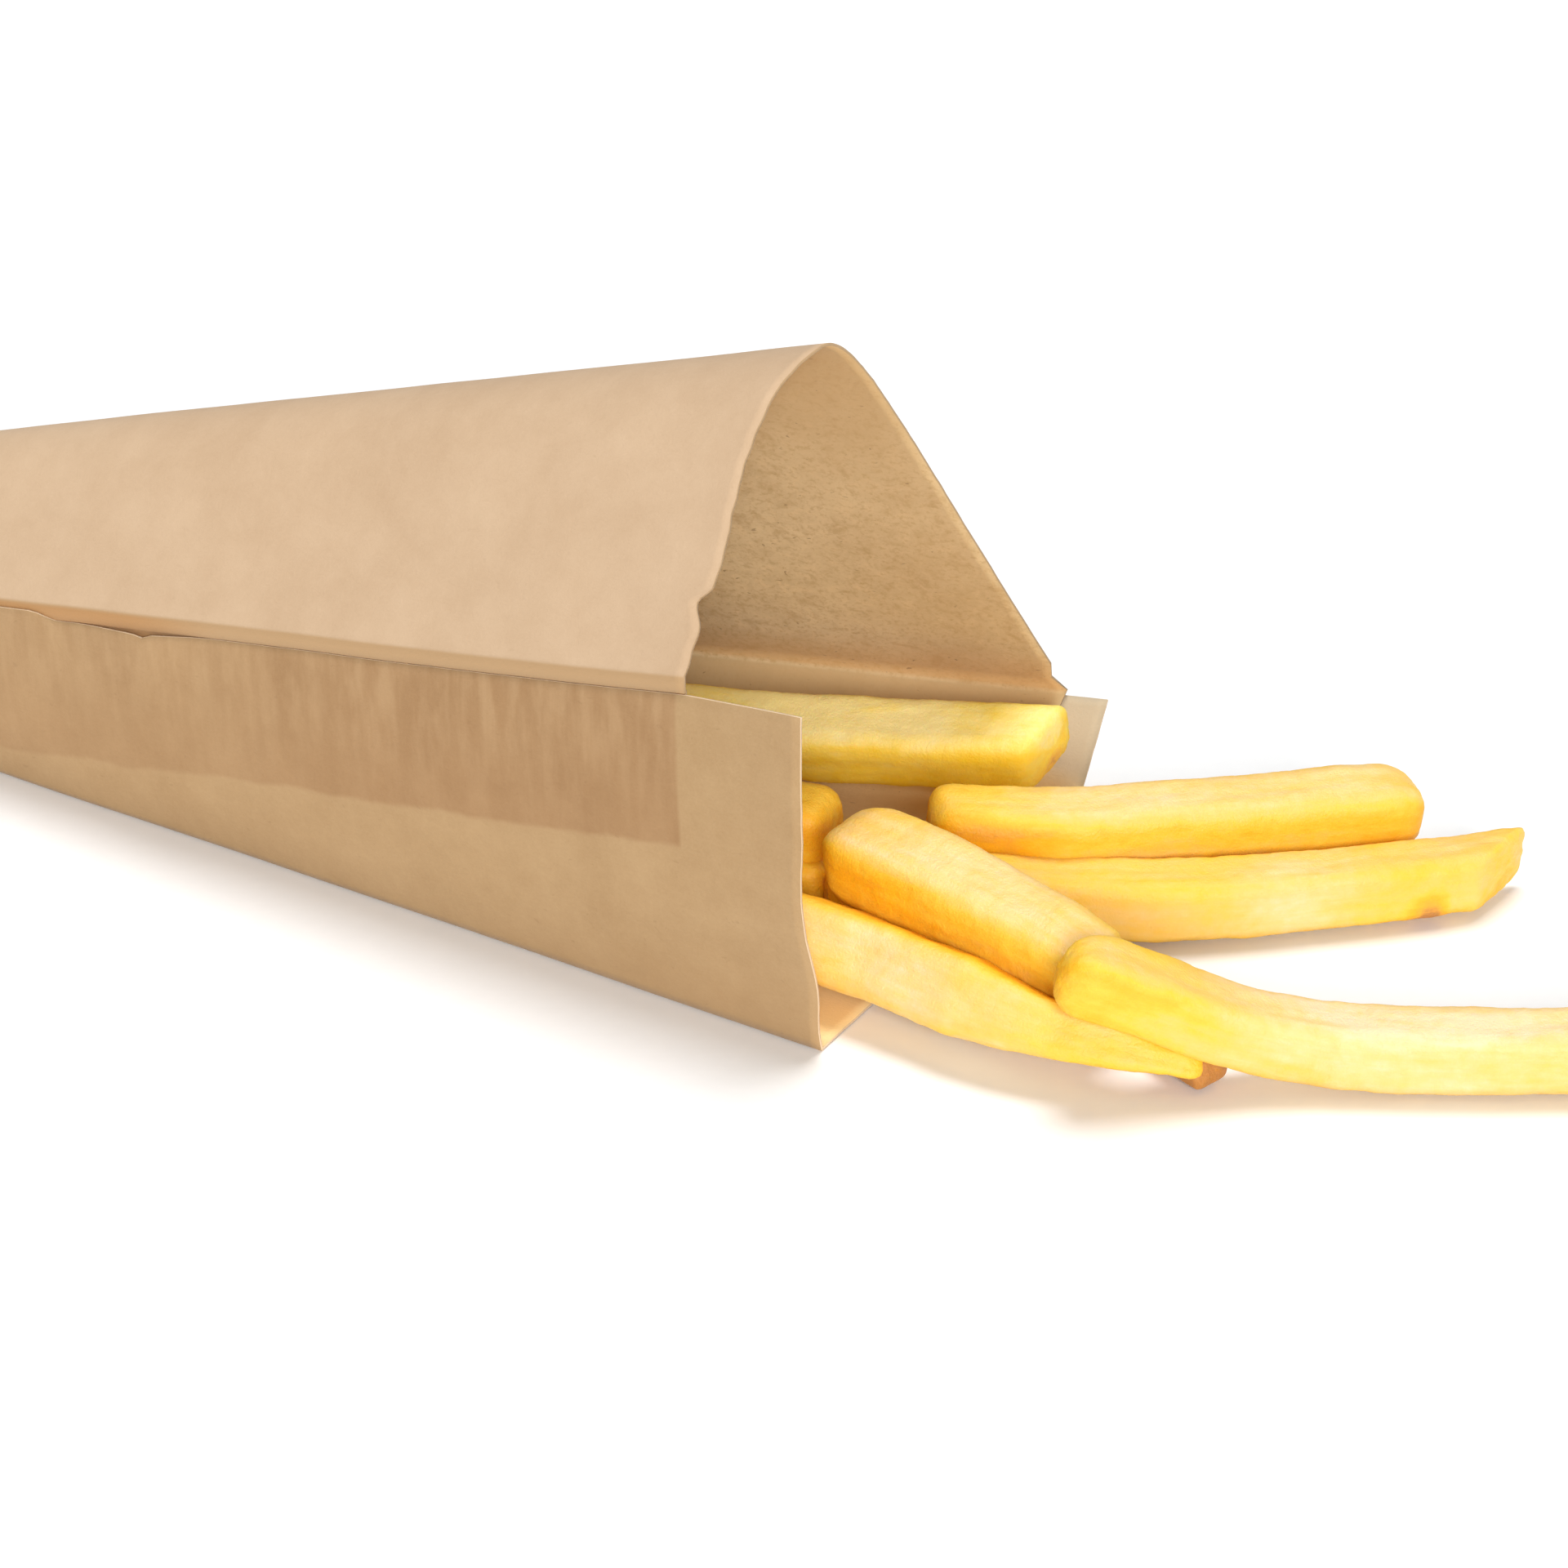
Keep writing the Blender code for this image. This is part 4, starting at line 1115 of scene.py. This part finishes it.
def fry_skin(group_tree):
    """Fried potato: pale inside flesh that turns golden, deep yellow and brown as it is fried."""
    finish, net, shader = new_finish("fried_potato", **FLESH_SHADER)
    fried, edge, cut, lemon = [net.marked(name) for name in ("fried", "edge", "cut_end", "lemon")]
    group = net.add("ShaderNodeGroup", node_tree=group_tree)
    net.plug(group.inputs["Place"], net.marked("fry_space", "Vector"))
    cloud, streak, spots = [group.outputs[name] for name in ("Cloud", "Streak", "Spots")]
    parts = ((cloud, CLOUD_SHARE), (streak, STREAK_SHARE), (spots, SPOTS_SHARE), (edge, EDGE_SHARE))
    changes = [net.times(net.less(part, 0.5), share) for part, share in parts]
    tone = net.plus(fried, *changes, net.times(cut, net.less(1.0, cut), CUT_SHARE))
    colours = [tone_colour(net, tone, stops) for stops in (GOLDEN_TONES, LEMON_AND_LIT_TONES)]
    net.plug(shader.inputs["Base Color"], net.colour_mix(lemon, *colours))
    net.plug(shader.inputs["Roughness"], net.ramp(streak, 0.3, 0.7, 0.42, 0.6, kind="LINEAR"))
    relief(net, shader, group.outputs["Height"], *SKIN_RELIEF)
    return finish


def direction(turn, lift):
    """The way towards a lamp or the camera, from its turn round the cone and its elevation in degrees."""
    turn = math.radians(turn)
    lift = math.radians(lift)
    return Vector((math.sin(turn) * math.cos(lift), -math.cos(turn) * math.cos(lift), math.sin(lift)))


def aimed(name, data, place, way):
    """A lamp or the camera at a place, turned the way that it shines or looks."""
    holder = in_scene(name, data)
    holder.location = place
    holder.rotation_mode = "QUATERNION"
    holder.rotation_quaternion = way.to_track_quat("-Z", "Y")
    return holder


def ground():
    """Plain white ground."""
    bpy.ops.mesh.primitive_plane_add(size=GROUND_SIZE, location=(0.0, 0.0, -GROUND_DROP))
    floor = bpy.context.object
    floor.name = "floor"
    finish, net, shader = new_finish("white_ground", Roughness=0.9)
    grain = net.noise(object_place(net), 0.4, 2.0)
    pale = [(GROUND * share,) * 3 + (1.0,) for share in GROUND_GRAIN]
    net.plug(shader.inputs["Base Color"], net.colour_mix(grain, *pale))
    floor.data.materials.append(finish)


def surroundings():
    """Even surroundings, which the camera sees as plain white."""
    studio = bpy.data.worlds.new("studio")
    studio.use_nodes = True
    bpy.context.scene.world = studio
    net = Net(studio.node_tree)
    lighting = studio.node_tree.nodes["Background"]
    lighting.inputs["Color"].default_value = SURROUNDINGS_TINT
    lighting.inputs["Strength"].default_value = SURROUNDINGS
    backdrop = net.value("ShaderNodeBackground", {"Color": (1.0, 1.0, 1.0, 1.0), "Strength": 1.0})
    seen = net.add("ShaderNodeLightPath").outputs["Is Camera Ray"]
    mixed = net.value("ShaderNodeMixShader", {0: seen, 1: lighting.outputs[0], 2: backdrop})
    net.plug(studio.node_tree.nodes["World Output"].inputs["Surface"], mixed)


def lamps():
    """A soft lamp above and a little behind, and one in front."""
    for name, turn, lift, width, share in LAMPS:
        lamp = bpy.data.lights.new(name, "SUN")
        lamp.angle = math.radians(width)
        lamp.energy = share * math.pi
        aimed(name, lamp, direction(turn, lift), -direction(turn, lift))


def camera():
    """The photograph's view."""
    data = bpy.data.cameras.new("camera")
    data.lens = CAMERA_LENS
    data.sensor_width = CAMERA_SENSOR
    data.clip_start = 0.01
    bpy.context.scene.view_settings.view_transform = "Standard"
    way = -direction(CAMERA_TURN, CAMERA_ELEVATION)
    bpy.context.scene.camera = aimed("camera", data, world(CAMERA_SPOT), way)


def paper_cone():
    """Both panels and the pressed tip."""
    pulp = pulp_group()
    tints = (fold_shade, glue_zone, roof_inside_shade, base_inside_shade, None, None)
    papers = [paper_finish(name, pulp, *look, tint) for (name, *look), tint in zip(PAPERS, tints)]
    # The roof's outside holds painted light, the wall's outside painted shade, and the roof's cut edge
    # painted shade
    lit_roof_skin, shaded_wall_skin, roof_inside, base_inside, shaded_roof_edge, lip_edge = papers
    near_fold_at = len(upper_section(CONE_LENGTH)) - 1 - (NEAR_FLAP_STEPS + 2)
    roof = paper_sheet("upper_sheet", upper_section, UPPER_START, roof_mouth, near_fold_at,
                       (lit_roof_skin, roof_inside, shaded_roof_edge))
    base = paper_sheet("lower_sheet", lower_section, LOWER_START, lip_mouth, 0,
                       (shaded_wall_skin, base_inside, lip_edge), loosened)
    tip = pressed_tip((shaded_wall_skin, lit_roof_skin))
    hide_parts("upper_panel")
    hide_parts("lower_panel")
    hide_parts("lower_panel")
    for piece in (roof, base, tip):
        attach(piece, "root")


def fry_heap():
    """All fries over their core."""
    tree = fry_tree()
    skin = fry_skin(skin_group())
    made = [make_fry(name, shape, tree, skin, seed) for seed, (name, shape) in enumerate(FRIES.items(), 1)]
    made.append(deep_fries(tree, skin))
    made.append(heap_core(skin))
    for piece in made:
        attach(piece, "root")
        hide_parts("fries")


# The paper's waves come out the same in each run
noise.seed_set(SEED)
camera()
ground()
surroundings()
lamps()
paper_cone()
fry_heap()
